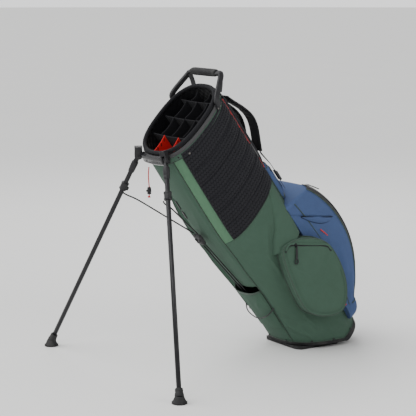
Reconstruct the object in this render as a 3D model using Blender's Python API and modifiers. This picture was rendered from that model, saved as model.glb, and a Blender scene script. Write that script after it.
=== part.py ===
"""Golf stand bag on its two spread legs: body panels, cuff with dividers, pockets, and the leg linkage.

Metres, +Z up. The origin is the middle of the underside of the hinged foot plate, on the floor.
Most pieces are placed in the bag's own frame, whose X points to the back of the bag (the strap side),
Y to its left and Z along the bag towards its mouth. An empty leans that frame over the legs.
"""

import math

import bmesh
import bpy
from mathutils import Matrix, Vector

# ---- overall
LEAN = math.radians(35.77)
FOOT_PLATE_LENGTH = 0.172
FOOT_PLATE_HALF_WIDTH = 0.094
FOOT_PLATE_THICK = 0.010
SECTION_POWER = 2.5
CLEAR = 0.0004
SEAM_GAP = math.radians(0.6)

# Stations along the bag: height, front, back, half width.
STATIONS = (
    (-0.12, 0.006, 0.248, 0.116),
    (0.03, 0.002, 0.256, 0.122),
    (0.20, 0.004, 0.262, 0.127),
    (0.36, -0.008, 0.262, 0.129),
    (0.50, -0.016, 0.262, 0.129),
    (0.86, -0.008, 0.262, 0.128),
)

# ---- cuff
RIM_HEIGHT = 0.8133
RIM_SLOPE = 0.21
ROLL_RADIUS = 0.0065
BAND_HEIGHT = 0.011
BAND_THICK = 0.006
BAND_OUT = 0.002
CUFF_HEIGHT = 2 * ROLL_RADIUS + BAND_HEIGHT + 2 * CLEAR

# ---- body panels
FABRIC = 0.002
VENTRAL_SEAM = math.radians(152)
BACK_SEAM = math.radians(36)
MESH_LOW = 0.452
MESH_LOW_SLOPE = 0.25
SLEEVE_MOUTH = 0.240
SLEEVE_FOOT = 0.085
VENT_UPPER_END = 0.262
VENT_LOWER_END = 0.105

# ---- base
HEEL_START = 0.151
HEEL_HEIGHT = -0.1005
HEM_CLEAR_OF_FLOOR = 0.0225
HEM_BACK = -0.080
HEM_GAP = 0.0010
HINGE_RISE = 0.0062
PLATE_PIN_RADIUS = 0.0026
PLATE_BARREL_RADIUS = 0.0056
PIN_FIT = 0.0003

# ---- dividers
DIVIDER_THICK = 0.003
DIVIDER_DROP = 0.007
DIVIDER_FOOT = 0.300
DIVIDER_INSET = 0.0165
CROSS_DIVIDERS = (0.076, 0.143, 0.209)
ROW_SPLITS = ((-0.040, 0.040), (-0.060, 0.0, 0.060), (-0.060, 0.0, 0.060), (-0.036, 0.036))

# ---- handle
GRIP_BACK = 0.281
GRIP_HEIGHT = RIM_HEIGHT + 0.0797
GRIP_HALF = 0.066
GRIP_RADIUS = 0.0105
ARM_RADIUS = 0.0065

# ---- legs
HINGE = Vector((-0.016, 0.079, RIM_HEIGHT - 0.0133))
STANCE_HALF = 0.389
SPREAD_FOOT = Vector((-0.629, STANCE_HALF, 0.0))
FOLDED_DIRECTION = Vector((-0.055, 0.0, -1.0)).normalized()
LEG_RADIUS = 0.0072
HEAD_RADIUS = 0.0095
HEAD_THICK = 0.008
HINGE_PIN_RADIUS = 0.0025
TUBE_START = 0.019
LEG_COLLAR = 0.1126
COLLAR_RADIUS = 0.0122
COLLAR_HEIGHT = 0.026
FOOT_RADIUS = 0.0215
FOOT_HEIGHT = 0.016
FOOT_NECK_RADIUS = 0.0115
FOOT_NECK = 0.048

BRACKET_HALF = 0.0635
BRACKET_LOW = RIM_HEIGHT - 0.0373
BRACKET_HIGH = RIM_HEIGHT - 0.0083
BRACKET_FACE = 0.0205

# ---- linkage
YOKE = Vector((-0.034, 0.0, 0.487))
YOKE_SIZE = Vector((0.010, 0.040, 0.036))
ROD_DIRECTION = Vector((-0.129, 0.0, 0.9916)).normalized()
ROD_RADIUS = 0.0022
ROD_SPREAD = 0.0105
ROD_FOOT_CLEAR = 0.0060
STRUT_RADIUS = 0.0023
STRUT_PIVOT = Vector((-0.034, 0.012, 0.510))

# ---- cords
DRAWCORD_TOP = Vector((-0.0251, 0.040, BRACKET_LOW - 0.0110))
DRAWCORD_RADIUS = 0.00175
DRAWCORD_LOCK = 0.072
ELASTIC_RADIUS = 0.0019
ELASTIC_LIFT = 0.018

# ---- pockets
POCKET_GAP = 0.0015
ZIP_CENTRE = Vector((0.071, 0, 0.250))
ZIP_RADIUS = 0.305
ZIP_START = math.radians(32)
BALL_POCKET_HALF = 0.128
BALL_POCKET_LOW = -0.045
BALL_POCKET_HIGH = 0.425
SIDE_POCKET_INNER = 0.1325
SIDE_POCKET_OUTER = 0.1660


def clear_scene():
    for obj in list(bpy.data.objects):
        bpy.data.objects.remove(obj, do_unlink=True)


def material(name, colour, roughness, metallic=0.0):
    made = bpy.data.materials.new(name)
    made.use_nodes = True
    shader = made.node_tree.nodes["Principled BSDF"]
    shader.inputs["Base Color"].default_value = (*colour, 1.0)
    shader.inputs["Roughness"].default_value = roughness
    shader.inputs["Metallic"].default_value = metallic
    return made


def make_collections():
    parts = bpy.data.collections.new("golf_stand_bag")
    cutters = bpy.data.collections.new("cutters")
    bpy.context.scene.collection.children.link(parts)
    bpy.context.scene.collection.children.link(cutters)
    return parts, cutters


def bag_matrix():
    """The bag's own frame in the world: leaned over the legs, with the foot plate's middle at the origin."""
    return Matrix.Translation((-FOOT_PLATE_LENGTH / 2, 0, 0)) @ Matrix.Rotation(-LEAN, 4, "Y")


def to_bag(world_from_plate_edge):
    """A point in the bag's frame from one measured in the world from the foot plate's front edge."""
    return Matrix.Rotation(LEAN, 3, "Y") @ Vector(world_from_plate_edge)


class Workshop:
    """Collections, the leaned empty and the materials that the makers below share."""

    def __init__(self):
        self.parts, self.cutters = make_collections()
        self.bag = bpy.data.objects.new("bag_frame", None)
        self.bag.matrix_world = bag_matrix()
        self.parts.objects.link(self.bag)
        self.paint = {
            "green_fabric": material("green_fabric", (0.055, 0.10, 0.072), 0.75),
            "blue_fabric": material("blue_fabric", (0.07, 0.10, 0.22), 0.75),
            "black_mesh": material("black_mesh", (0.012, 0.012, 0.016), 0.85),
            "black_plastic": material("black_plastic", (0.012, 0.012, 0.014), 0.42),
            "grey_plastic": material("grey_plastic", (0.045, 0.045, 0.048), 0.5),
            "rubber": material("rubber", (0.015, 0.015, 0.016), 0.8),
            "black_metal": material("black_metal", (0.014, 0.014, 0.016), 0.35, 0.6),
            "lining": material("lining", (0.006, 0.006, 0.008), 0.9),
            "red_fabric": material("red_fabric", (0.42, 0.03, 0.03), 0.7),
        }

    def add(self, name, mesh_or_curve, paint, parent=True, at=None):
        obj = bpy.data.objects.new(name, mesh_or_curve)
        obj.data.materials.append(self.paint[paint])
        self.parts.objects.link(obj)
        if at is not None:
            obj.matrix_local = at
        if parent is True:
            obj.parent = self.bag
        elif parent:
            obj.parent = parent
        return obj

    def cutter(self, name, mesh, parent=None, at=None):
        obj = bpy.data.objects.new(name, mesh)
        self.cutters.objects.link(obj)
        obj.parent = parent
        if at is not None:
            obj.matrix_local = at
        obj.hide_render = True
        obj.display_type = "WIRE"
        return obj


def boolean(obj, other, operation):
    modifier = obj.modifiers.new(operation.title(), "BOOLEAN")
    modifier.operation = operation
    modifier.solver = "EXACT"
    modifier.object = other
    return modifier


def bevel(obj, width, segments=2):
    modifier = obj.modifiers.new("Bevel", "BEVEL")
    modifier.width = width
    modifier.segments = segments
    modifier.limit_method = "ANGLE"


def mesh_from(name, fill):
    """A mesh made by a function that fills a bmesh."""
    work = bmesh.new()
    fill(work)
    bmesh.ops.recalc_face_normals(work, faces=work.faces)
    mesh = bpy.data.meshes.new(name)
    work.to_mesh(mesh)
    work.free()
    return mesh


def box_mesh(name, size, centre=(0, 0, 0)):
    def fill(work):
        at = Matrix.Translation(centre) @ Matrix.Diagonal((*size, 1.0))
        bmesh.ops.create_cube(work, size=1.0, matrix=at)

    return mesh_from(name, fill)


def rod_mesh(name, radius_low, radius_high, length, sides=16, at=None):
    """A cylinder or cone along its own Z, centred unless a matrix says otherwise."""

    def fill(work):
        bmesh.ops.create_cone(
            work, cap_ends=True, segments=sides, radius1=radius_low, radius2=radius_high,
            depth=length, matrix=at or Matrix.Identity(4),
        )

    return mesh_from(name, fill)


def turned(name, profile, steps=20):
    """A closed profile of (radius, height) points turned about Z."""

    def fill(work):
        corners = [work.verts.new((radius, 0, height)) for radius, height in profile]
        edges = [work.edges.new((a, b)) for a, b in zip(corners, corners[1:] + corners[:1])]
        bmesh.ops.spin(
            work, geom=corners + edges, cent=(0, 0, 0), axis=(0, 0, 1), angle=math.tau, steps=steps,
            use_merge=True,
        )
        bmesh.ops.remove_doubles(work, verts=work.verts, dist=1e-6)
        bmesh.ops.dissolve_degenerate(work, dist=1e-6, edges=work.edges)

    return mesh_from(name, fill)


def prism_mesh(name, outline, low, high):
    """A flat outline of (x, z) points, from one Y to another."""

    def fill(work):
        face = work.faces.new([work.verts.new((x, low, z)) for x, z in outline])
        grown = bmesh.ops.extrude_face_region(work, geom=[face])
        moved = [item for item in grown["geom"] if isinstance(item, bmesh.types.BMVert)]
        bmesh.ops.translate(work, verts=moved, vec=(0, high - low, 0))

    return mesh_from(name, fill)


def tube_curve(name, points, radius, resolution=2, cyclic=False):
    curve = bpy.data.curves.new(name, "CURVE")
    curve.dimensions = "3D"
    curve.bevel_depth = radius
    curve.bevel_resolution = resolution
    curve.use_fill_caps = True
    spline = curve.splines.new("POLY")
    spline.points.add(len(points) - 1)
    for place, point in zip(spline.points, points):
        place.co = (*point, 1.0)
    spline.use_cyclic_u = cyclic
    return curve


def tube_mesh(name, points, radius, resolution=2):
    """The same tube as a closed mesh, for Booleans."""
    helper = bpy.data.objects.new(name + "_path", tube_curve(name, points, radius, resolution))
    bpy.context.scene.collection.objects.link(helper)
    graph = bpy.context.evaluated_depsgraph_get()
    mesh = bpy.data.meshes.new_from_object(helper.evaluated_get(graph))
    bpy.data.objects.remove(helper, do_unlink=True)
    work = bmesh.new()
    work.from_mesh(mesh)
    bmesh.ops.remove_doubles(work, verts=work.verts, dist=1e-6)
    bmesh.ops.recalc_face_normals(work, faces=work.faces)
    work.to_mesh(mesh)
    work.free()
    return mesh


def smooth_route(points, spacing):
    """Points at an even spacing on the smooth curve through a route's own points."""
    knots = [Vector(point) for point in points]
    padded = [2 * knots[0] - knots[1], *knots, 2 * knots[-1] - knots[-2]]
    fine = []
    for a, b, c, d in zip(padded, padded[1:], padded[2:], padded[3:]):
        for step in range(12):
            t = step / 12
            fine.append(
                0.5 * (2 * b + (c - a) * t + (2 * a - 5 * b + 4 * c - d) * t**2
                       + (3 * b - a - 3 * c + d) * t**3)
            )
    fine.append(knots[-1])
    kept = [fine[0]]
    for point in fine[1:-1]:
        if (point - kept[-1]).length >= spacing:
            kept.append(point)
    return [*kept, fine[-1]]


def section(height):
    """Front, back and half width of the body at a height along the bag."""
    low = STATIONS[0]
    for high in STATIONS[1:]:
        if height <= high[0] or high is STATIONS[-1]:
            share = min(max((height - low[0]) / (high[0] - low[0]), 0.0), 1.0)
            ease = share * share * (3 - 2 * share)
            return tuple(a + (b - a) * ease for a, b in zip(low[1:], high[1:]))
        low = high


def skin(height, angle, out=0.0):
    """A point on the body, its angle counted from the back towards the left side, moved straight out."""
    front, back, half = section(height)
    depth = (back - front) / 2
    cosine, sine = math.cos(angle), math.sin(angle)
    x = depth * math.copysign(abs(cosine) ** (2 / SECTION_POWER), cosine)
    y = half * math.copysign(abs(sine) ** (2 / SECTION_POWER), sine)
    normal = Vector((
        math.copysign(abs(x / depth) ** (SECTION_POWER - 1) / depth, x),
        math.copysign(abs(y / half) ** (SECTION_POWER - 1) / half, y),
        0,
    )).normalized()
    return Vector(((back + front) / 2 + x, y, height)) + normal * out


def half_width_at(x, height, inset):
    """How far the inside of the body reaches sideways at a depth x, less an inset."""
    front, back, half = section(height)
    depth = (back - front) / 2 - inset
    share = min(abs(x - (back + front) / 2) / depth, 1.0)
    return (half - inset) * (1 - share**SECTION_POWER) ** (1 / SECTION_POWER)


def slab_mesh(name, outer, inner, closed=False):
    """A closed wall between two grids of points, each a list of columns; closed joins the last to the first."""

    def fill(work):
        columns, rows = len(outer), len(outer[0])
        skins = [[[work.verts.new(p) for p in column] for column in grid] for grid in (outer, inner)]
        last = columns if closed else columns - 1
        for grid in skins:
            for i in range(last):
                here, there = grid[i], grid[(i + 1) % columns]
                for j in range(rows - 1):
                    work.faces.new((here[j], there[j], there[j + 1], here[j + 1]))
        for row in (0, rows - 1):
            for i in range(last):
                k = (i + 1) % columns
                work.faces.new((skins[0][i][row], skins[0][k][row], skins[1][k][row], skins[1][i][row]))
        if not closed:
            for i in (0, columns - 1):
                for j in range(rows - 1):
                    a, b = skins[0][i], skins[1][i]
                    work.faces.new((a[j], a[j + 1], b[j + 1], b[j]))

    return mesh_from(name, fill)


def height_at(edge, angle):
    """The height where an edge, given as a height for each depth x, meets the body at an angle."""
    height = edge(skin(0.4, angle).x)
    return edge(skin(height, angle).x)


def wall(name, angles, low, high, rows, outside, inside):
    """Part of the body's wall: low and high give heights from a depth x, the offsets from two shares."""
    outer, inner = [], []
    for i, angle in enumerate(angles):
        across = i / (len(angles) - 1)
        bottom, top = height_at(low, angle), height_at(high, angle)
        heights = [bottom + (top - bottom) * j / rows for j in range(rows + 1)]
        outer.append([skin(z, angle, outside(across, j / rows)) for j, z in enumerate(heights)])
        inner.append([skin(z, angle, inside(across, j / rows)) for j, z in enumerate(heights)])
    return slab_mesh(name, outer, inner)


def spread(start, end, steps):
    return [start + (end - start) * i / steps for i in range(steps + 1)]


def flat(value):
    return lambda *_: value


def rim_top(x):
    return RIM_HEIGHT + RIM_SLOPE * x


def panel_top(x):
    return rim_top(x) - CUFF_HEIGHT


def mesh_low(x):
    return MESH_LOW + MESH_LOW_SLOPE * x


def floor_line(x, rise):
    """The bag-frame height of a plane at a given rise above the floor, at depth x."""
    return (rise - x * math.sin(LEAN)) / math.cos(LEAN)


def hem(x):
    return max(floor_line(x, HEM_CLEAR_OF_FLOOR), HEM_BACK)


def panel_angles():
    """The angles of the front, one side and the back, which the base tray's rim shares."""
    front = spread(VENTRAL_SEAM + SEAM_GAP, math.tau - VENTRAL_SEAM - SEAM_GAP, 8)
    side = spread(BACK_SEAM + SEAM_GAP, VENTRAL_SEAM - SEAM_GAP, 10)
    back = spread(-BACK_SEAM + SEAM_GAP, BACK_SEAM - SEAM_GAP, 6)
    return front, side, back


def make_panels(shop):
    """The sewn body panels: front, quilted mesh sides, lower sides and back."""
    front_angles, one_side, back_angles = panel_angles()
    outside, inside = flat(0.0), flat(-FABRIC)
    upper = wall("front_panel", front_angles, flat(VENT_UPPER_END), panel_top, 5, outside, inside)
    lower = wall("front_base_panel", front_angles, hem, flat(VENT_LOWER_END), 2, outside, inside)
    shop.add("front_panel", upper, "green_fabric")
    shop.add("front_base_panel", lower, "green_fabric")
    for side, sign in (("left", 1), ("right", -1)):
        side_angles = [sign * angle for angle in one_side]
        mesh_foot = lambda x: mesh_low(x) + CLEAR * 2
        quilted = wall("quilted_panel_" + side, side_angles, mesh_foot, panel_top, 4, outside, inside)
        shop.add("quilted_panel_" + side, quilted, "black_mesh")
        lower_side = wall("side_panel_" + side, side_angles, hem, mesh_low, 5, outside, inside)
        shop.add("side_panel_" + side, lower_side, "green_fabric")
    back = wall("back_panel", back_angles, hem, panel_top, 8, outside, inside)
    shop.add("back_panel", back, "green_fabric")


def ring(name, low, high, outside, inside, steps=32):
    outer, inner = [], []
    for i in range(steps):
        angle = math.tau * i / steps
        x = skin(rim_top(0.12), angle).x
        heights = (low(x), high(x))
        outer.append([skin(z, angle, outside) for z in heights])
        inner.append([skin(z, angle, inside) for z in heights])
    return slab_mesh(name, outer, inner, closed=True)


def make_cuff(shop):
    """The padded rim roll and the moulded cuff ring below it."""
    path = []
    for i in range(36):
        point = skin(rim_top(0.12), math.tau * i / 36, -ROLL_RADIUS - 0.001)
        path.append((point.x, point.y, rim_top(point.x) - ROLL_RADIUS))
    shop.add("rim_padding", tube_curve("rim_padding", path, ROLL_RADIUS, 2, cyclic=True), "lining")
    band_top = lambda x: rim_top(x) - 2 * ROLL_RADIUS - CLEAR
    band_low = lambda x: band_top(x) - BAND_HEIGHT
    shop.add("cuff_ring", ring("cuff_ring", band_low, band_top, BAND_OUT, BAND_OUT - BAND_THICK), "grey_plastic")


def divider_top(x):
    return rim_top(x) - 2 * ROLL_RADIUS - DIVIDER_DROP


def make_dividers(shop):
    """Fourteen club slots: three cross dividers and ten short ones between them, the two at the front red."""
    half_thick = DIVIDER_THICK / 2
    for number, x in enumerate(CROSS_DIVIDERS, 1):
        reach = min(
            half_width_at(x + s * half_thick, z, DIVIDER_INSET) for s in (-1, 1) for z in (DIVIDER_FOOT, 0.82)
        )
        outline = [
            (x - half_thick, DIVIDER_FOOT), (x + half_thick, DIVIDER_FOOT),
            (x + half_thick, divider_top(x)), (x - half_thick, divider_top(x)),
        ]
        shop.add(f"cross_divider_{number}", prism_mesh("cross", outline, -reach, reach), "lining")
    fronts = [0.0, *CROSS_DIVIDERS]
    backs = [*CROSS_DIVIDERS, 0.25]
    for row, splits in enumerate(ROW_SPLITS, 1):
        start = fronts[row - 1] + half_thick + CLEAR
        end = backs[row - 1] - half_thick - CLEAR
        for number, y in enumerate(splits, 1):
            front, back = start, end
            while half_width_at(front, 0.5, DIVIDER_INSET) < abs(y) + half_thick:
                front += 0.001
            while half_width_at(back, 0.5, DIVIDER_INSET) < abs(y) + half_thick:
                back -= 0.001
            outline = [
                (front, DIVIDER_FOOT), (back, DIVIDER_FOOT), (back, divider_top(back)),
                (front, divider_top(front)),
            ]
            mesh = prism_mesh("short", outline, y - half_thick, y + half_thick)
            shop.add(f"divider_row{row}_{number}", mesh, "red_fabric" if row == 1 else "lining")


def make_handle(shop):
    """The cross grip behind the mouth, held at each end by a two-armed bracket on the cuff."""
    grip = tube_curve("handle_grip", [(GRIP_BACK, y, GRIP_HEIGHT) for y in spread(-GRIP_HALF, GRIP_HALF, 2)],
                      GRIP_RADIUS, 3)
    shop.add("handle_grip", grip, "rubber")
    band_out = BAND_OUT + ARM_RADIUS + CLEAR
    for side, sign in (("left", 1), ("right", -1)):
        start = Vector((GRIP_BACK, sign * (GRIP_HALF + CLEAR), GRIP_HEIGHT))
        corner = Vector((GRIP_BACK - 0.004, sign * (GRIP_HALF + 0.022), GRIP_HEIGHT - 0.007))
        front_foot = skin(rim_top(0.19) - 0.018, sign * math.radians(62), band_out)
        front_mid = front_foot + Vector((0.006, 0, 0.022))
        rear_foot = skin(rim_top(0.25) - 0.024, sign * math.radians(27), band_out)
        straight = start + Vector((0, sign * 0.006, 0))
        front_arm = tube_mesh("handle_arm", [start, straight, corner, front_mid, front_foot], ARM_RADIUS)
        rear_arm = tube_mesh("handle_brace", [corner, rear_foot], ARM_RADIUS * 0.92)
        obj = shop.add("handle_bracket_" + side, front_arm, "black_plastic")
        brace = shop.cutter("handle_brace_" + side, rear_arm, parent=shop.bag)
        boolean(obj, brace, "UNION")


def leg_frame(sign):
    """The leg hinge in the bag's frame: local -Z runs down the spread leg and local Y is the hinge pin."""
    foot = to_bag((SPREAD_FOOT.x, SPREAD_FOOT.y, FOOT_HEIGHT))
    down = (foot - HINGE).normalized()
    pin = down.cross(FOLDED_DIRECTION).normalized()
    z = -down
    y = pin
    x = y.cross(z)
    turn = Matrix((x, y, z)).transposed()
    if sign < 0:
        mirror = Matrix.Diagonal((1, -1, 1))
        turn = mirror @ turn @ mirror
    place = Vector((HINGE.x, sign * HINGE.y, HINGE.z))
    return Matrix.Translation(place) @ turn.to_4x4()


def leg_length():
    return (to_bag((SPREAD_FOOT.x, SPREAD_FOOT.y, FOOT_HEIGHT)) - HINGE).length


def leg_fold_angle():
    foot = to_bag((SPREAD_FOOT.x, SPREAD_FOOT.y, FOOT_HEIGHT))
    return (foot - HINGE).angle(FOLDED_DIRECTION)


def make_leg(shop, side, sign):
    """A tube leg with its flat hinge head, the strut collar and a bell-shaped rubber foot."""
    axis = bpy.data.objects.new("leg_axis_" + side, None)
    shop.parts.objects.link(axis)
    axis.parent = shop.bag
    axis.matrix_local = leg_frame(sign)
    length = leg_length()
    lay_pin = Matrix.Rotation(math.pi / 2, 4, "X")
    shank_at = Matrix.Translation((0, 0, -TUBE_START / 2 - 0.004))
    head = rod_mesh("head", HEAD_RADIUS, HEAD_RADIUS, HEAD_THICK, 20, lay_pin)
    leg = shop.add("leg_" + side, head, "black_metal", parent=axis)
    shank = shop.cutter("leg_shank_" + side, box_mesh("shank", (0.010, 0.0076, TUBE_START), shank_at.translation), axis)
    boolean(leg, shank, "UNION")
    bore_radius = HINGE_PIN_RADIUS + PIN_FIT
    bore = shop.cutter("leg_bore_" + side, rod_mesh("bore", bore_radius, bore_radius, 0.03, 16, lay_pin), axis)
    foot_gap = 0.006
    span = length - TUBE_START - foot_gap
    tube_at = Matrix.Translation((0, 0, -TUBE_START - span / 2))
    tube = shop.cutter("leg_tube_" + side, rod_mesh("tube", LEG_RADIUS, LEG_RADIUS, span, 16, tube_at), axis)
    boolean(leg, tube, "UNION")
    boolean(leg, bore, "DIFFERENCE")

    inner = LEG_RADIUS + CLEAR
    rim = COLLAR_HEIGHT / 2
    profile = [(inner, -rim), (COLLAR_RADIUS - 0.001, -rim), (COLLAR_RADIUS, -rim + 0.002),
               (COLLAR_RADIUS, rim - 0.002), (COLLAR_RADIUS - 0.001, rim), (inner, rim)]
    shop.add("leg_collar_" + side, turned("collar", profile, 16), "black_plastic", parent=axis,
             at=Matrix.Translation((0, 0, -LEG_COLLAR)))

    sleeve_radius = FOOT_NECK_RADIUS
    neck_at = Matrix.Translation((0, 0, -length + FOOT_NECK / 2))
    neck = rod_mesh("neck", sleeve_radius + 0.003, sleeve_radius, FOOT_NECK, 16, neck_at)
    foot = shop.add("foot_" + side, neck, "rubber", parent=axis)
    world = shop.bag.matrix_world @ leg_frame(sign)
    floor_point = bag_matrix() @ to_bag((SPREAD_FOOT.x, sign * SPREAD_FOOT.y, 0))
    bell_profile = [(0, 0), (FOOT_RADIUS, 0), (FOOT_RADIUS, 0.004), (FOOT_RADIUS - 0.003, 0.008),
                    (FOOT_RADIUS - 0.0075, FOOT_HEIGHT + 0.006), (0, FOOT_HEIGHT + 0.006)]
    bell_at = world.inverted() @ Matrix.Translation(floor_point)
    bell = shop.cutter("foot_bell_" + side, turned_solid("bell", bell_profile), axis, bell_at)
    boolean(foot, bell, "UNION")
    bore_span = length - foot_gap
    socket_radius = LEG_RADIUS + CLEAR
    socket_at = Matrix.Translation((0, 0, -bore_span / 2 - CLEAR))
    socket = shop.cutter("foot_socket_" + side,
                         rod_mesh("socket", socket_radius, socket_radius, bore_span, 16, socket_at), axis)
    boolean(foot, socket, "DIFFERENCE")
    return axis


def turned_solid(name, profile, steps=20):
    """A solid turned about Z from a profile that starts and ends on the axis."""

    def fill(work):
        rings = []
        for radius, height in profile:
            if radius == 0:
                rings.append([work.verts.new((0, 0, height))])
            else:
                rings.append([
                    work.verts.new((radius * math.cos(math.tau * i / steps),
                                    radius * math.sin(math.tau * i / steps), height))
                    for i in range(steps)
                ])
        for low, high in zip(rings, rings[1:]):
            for i in range(steps):
                k = (i + 1) % steps
                if len(low) == 1:
                    work.faces.new((low[0], high[i], high[k]))
                elif len(high) == 1:
                    work.faces.new((low[i], low[k], high[0]))
                else:
                    work.faces.new((low[i], low[k], high[k], high[i]))

    return mesh_from(name, fill)


def make_hinge_socket(shop, side, sign):
    """Two ears on either side of the leg's head, a web up to the cuff, and the pin through them."""
    frame = leg_frame(sign)
    axis = bpy.data.objects.new("socket_axis_" + side, None)
    shop.parts.objects.link(axis)
    axis.parent = shop.bag
    axis.matrix_local = frame
    lay_pin = Matrix.Rotation(math.pi / 2, 4, "X")
    ear_thick = 0.0045
    ear_radius = 0.0125
    total = HEAD_THICK + 2 * (ear_thick + CLEAR)
    body = rod_mesh("ears", ear_radius, ear_radius, total, 20, lay_pin)
    socket = shop.add("hinge_socket_" + side, body, "black_plastic", parent=axis)
    # The web leaves the pin on the side away from both ends of the leg's swing.
    half_swing = leg_fold_angle() / 2
    web_turn = Matrix.Rotation(half_swing, 4, "Y")
    web_height = 0.026
    web_at = web_turn @ Matrix.Translation((0, 0, web_height / 2 + 0.002))
    web = shop.cutter("socket_web_" + side, box_mesh("web", (0.020, total - 0.0004, web_height)), axis, web_at)
    boolean(socket, web, "UNION")
    slot_width = HEAD_THICK + 2 * CLEAR
    slot_radius = HEAD_RADIUS + 0.0008
    slot = shop.cutter("socket_slot_" + side, rod_mesh("slot", slot_radius, slot_radius, slot_width, 24, lay_pin), axis)
    boolean(socket, slot, "DIFFERENCE")
    reach = 0.04
    for number, share in enumerate((0.0, 0.5, 1.0)):
        turn = Matrix.Rotation(2 * half_swing * share, 4, "Y")
        at = turn @ Matrix.Translation((0, 0, -reach / 2))
        size = (2 * slot_radius, slot_width, reach)
        sweep = shop.cutter(f"socket_sweep_{side}_{number}", box_mesh("sweep", size), axis, at)
        boolean(socket, sweep, "DIFFERENCE")
    bore_radius = HINGE_PIN_RADIUS + CLEAR
    bore = shop.cutter("socket_bore_" + side, rod_mesh("bore", bore_radius, bore_radius, 0.06, 16, lay_pin), axis)
    boolean(socket, bore, "DIFFERENCE")
    pin_length = total + 0.003
    pin = rod_mesh("pin", HINGE_PIN_RADIUS, HINGE_PIN_RADIUS, pin_length, 12, lay_pin)
    shop.add("hinge_pin_" + side, pin, "black_metal", parent=axis)


def front_at(y, height, out):
    """The depth of the body's front at a sideways place, moved straight out from it."""
    front, back, half = section(height)
    middle, depth = (back + front) / 2, (back - front) / 2
    return middle - depth * (1 - (abs(y) / half) ** SECTION_POWER) ** (1 / SECTION_POWER) - out


def make_stand_bracket(shop):
    """The curved moulding across the front lip, between the two hinge sockets."""
    outer, inner = [], []
    heights = (BRACKET_LOW, BRACKET_LOW + 0.005, BRACKET_HIGH - 0.005, BRACKET_HIGH)
    for y in spread(-BRACKET_HALF, BRACKET_HALF, 12):
        bow = 0.004 * (1 - (y / BRACKET_HALF) ** 2)
        against = front_at(y, BRACKET_HIGH, BAND_OUT + 2 * CLEAR)
        outer.append([Vector((-BRACKET_FACE - bow, y, z)) for z in heights])
        inner.append([Vector((against, y, z)) for z in heights])
    shop.add("stand_bracket", slab_mesh("stand_bracket", outer, inner), "black_plastic")


def make_linkage(shop):
    """The yoke with its U-shaped push rod, and a bent strut from the yoke to each leg's collar."""
    yoke = shop.add("yoke", box_mesh("yoke", YOKE_SIZE), "black_plastic", at=Matrix.Translation(YOKE))
    bevel(yoke, 0.002, 1)
    rod_top = YOKE.z - YOKE_SIZE.z / 2 - CLEAR
    across = Vector((0, ROD_SPREAD, 0))
    top = YOKE + ROD_DIRECTION * ((rod_top - YOKE.z) / ROD_DIRECTION.z)
    foot_x = YOKE.x - ROD_DIRECTION.x / ROD_DIRECTION.z * YOKE.z
    rod_foot = floor_line(foot_x, FOOT_PLATE_THICK) + ROD_RADIUS + ROD_FOOT_CLEAR
    foot = YOKE + ROD_DIRECTION * ((rod_foot - YOKE.z) / ROD_DIRECTION.z)
    turn = ROD_DIRECTION * 0.005
    inward = Vector((0, 0.005, 0))
    route = [top + across, foot + turn + across, foot + across - inward]
    route += [foot - across + inward, foot + turn - across, top - across]
    shop.add("push_rod", tube_curve("push_rod", route, ROD_RADIUS, 2), "black_metal")
    for side, sign in (("left", 1), ("right", -1)):
        pivot = Vector((STRUT_PIVOT.x, sign * STRUT_PIVOT.y, STRUT_PIVOT.z))
        collar = leg_frame(sign) @ Vector((0, 0, -LEG_COLLAR))
        end = collar + Vector((-0.0195, -sign * 0.004, -0.005))
        bend = pivot.lerp(end, 0.80) + Vector((0.004, -sign * 0.006, -0.004))
        knee = pivot.lerp(end, 0.93) + Vector((-0.001, -sign * 0.004, -0.001))
        strut = tube_curve("strut", [pivot, pivot.lerp(bend, 0.5), bend, knee, end], STRUT_RADIUS, 2)
        shop.add("strut_" + side, strut, "black_metal")


def make_rod_cover(shop):
    """The fabric sleeve over the rods, sewn down at both sides and open at its mouth."""
    angles = spread(VENTRAL_SEAM + math.radians(2), 2 * math.pi - VENTRAL_SEAM - math.radians(2), 10)

    def lift(across, along):
        return 0.0006 + 0.0125 * (1 - abs(2 * across - 1) ** 3) * (0.35 + 0.65 * along)

    mesh = wall("rod_sleeve", angles, flat(SLEEVE_FOOT), flat(SLEEVE_MOUTH), 4,
                lambda a, b: lift(a, b) + 0.002, lift)
    shop.add("rod_sleeve", mesh, "green_fabric")


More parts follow.
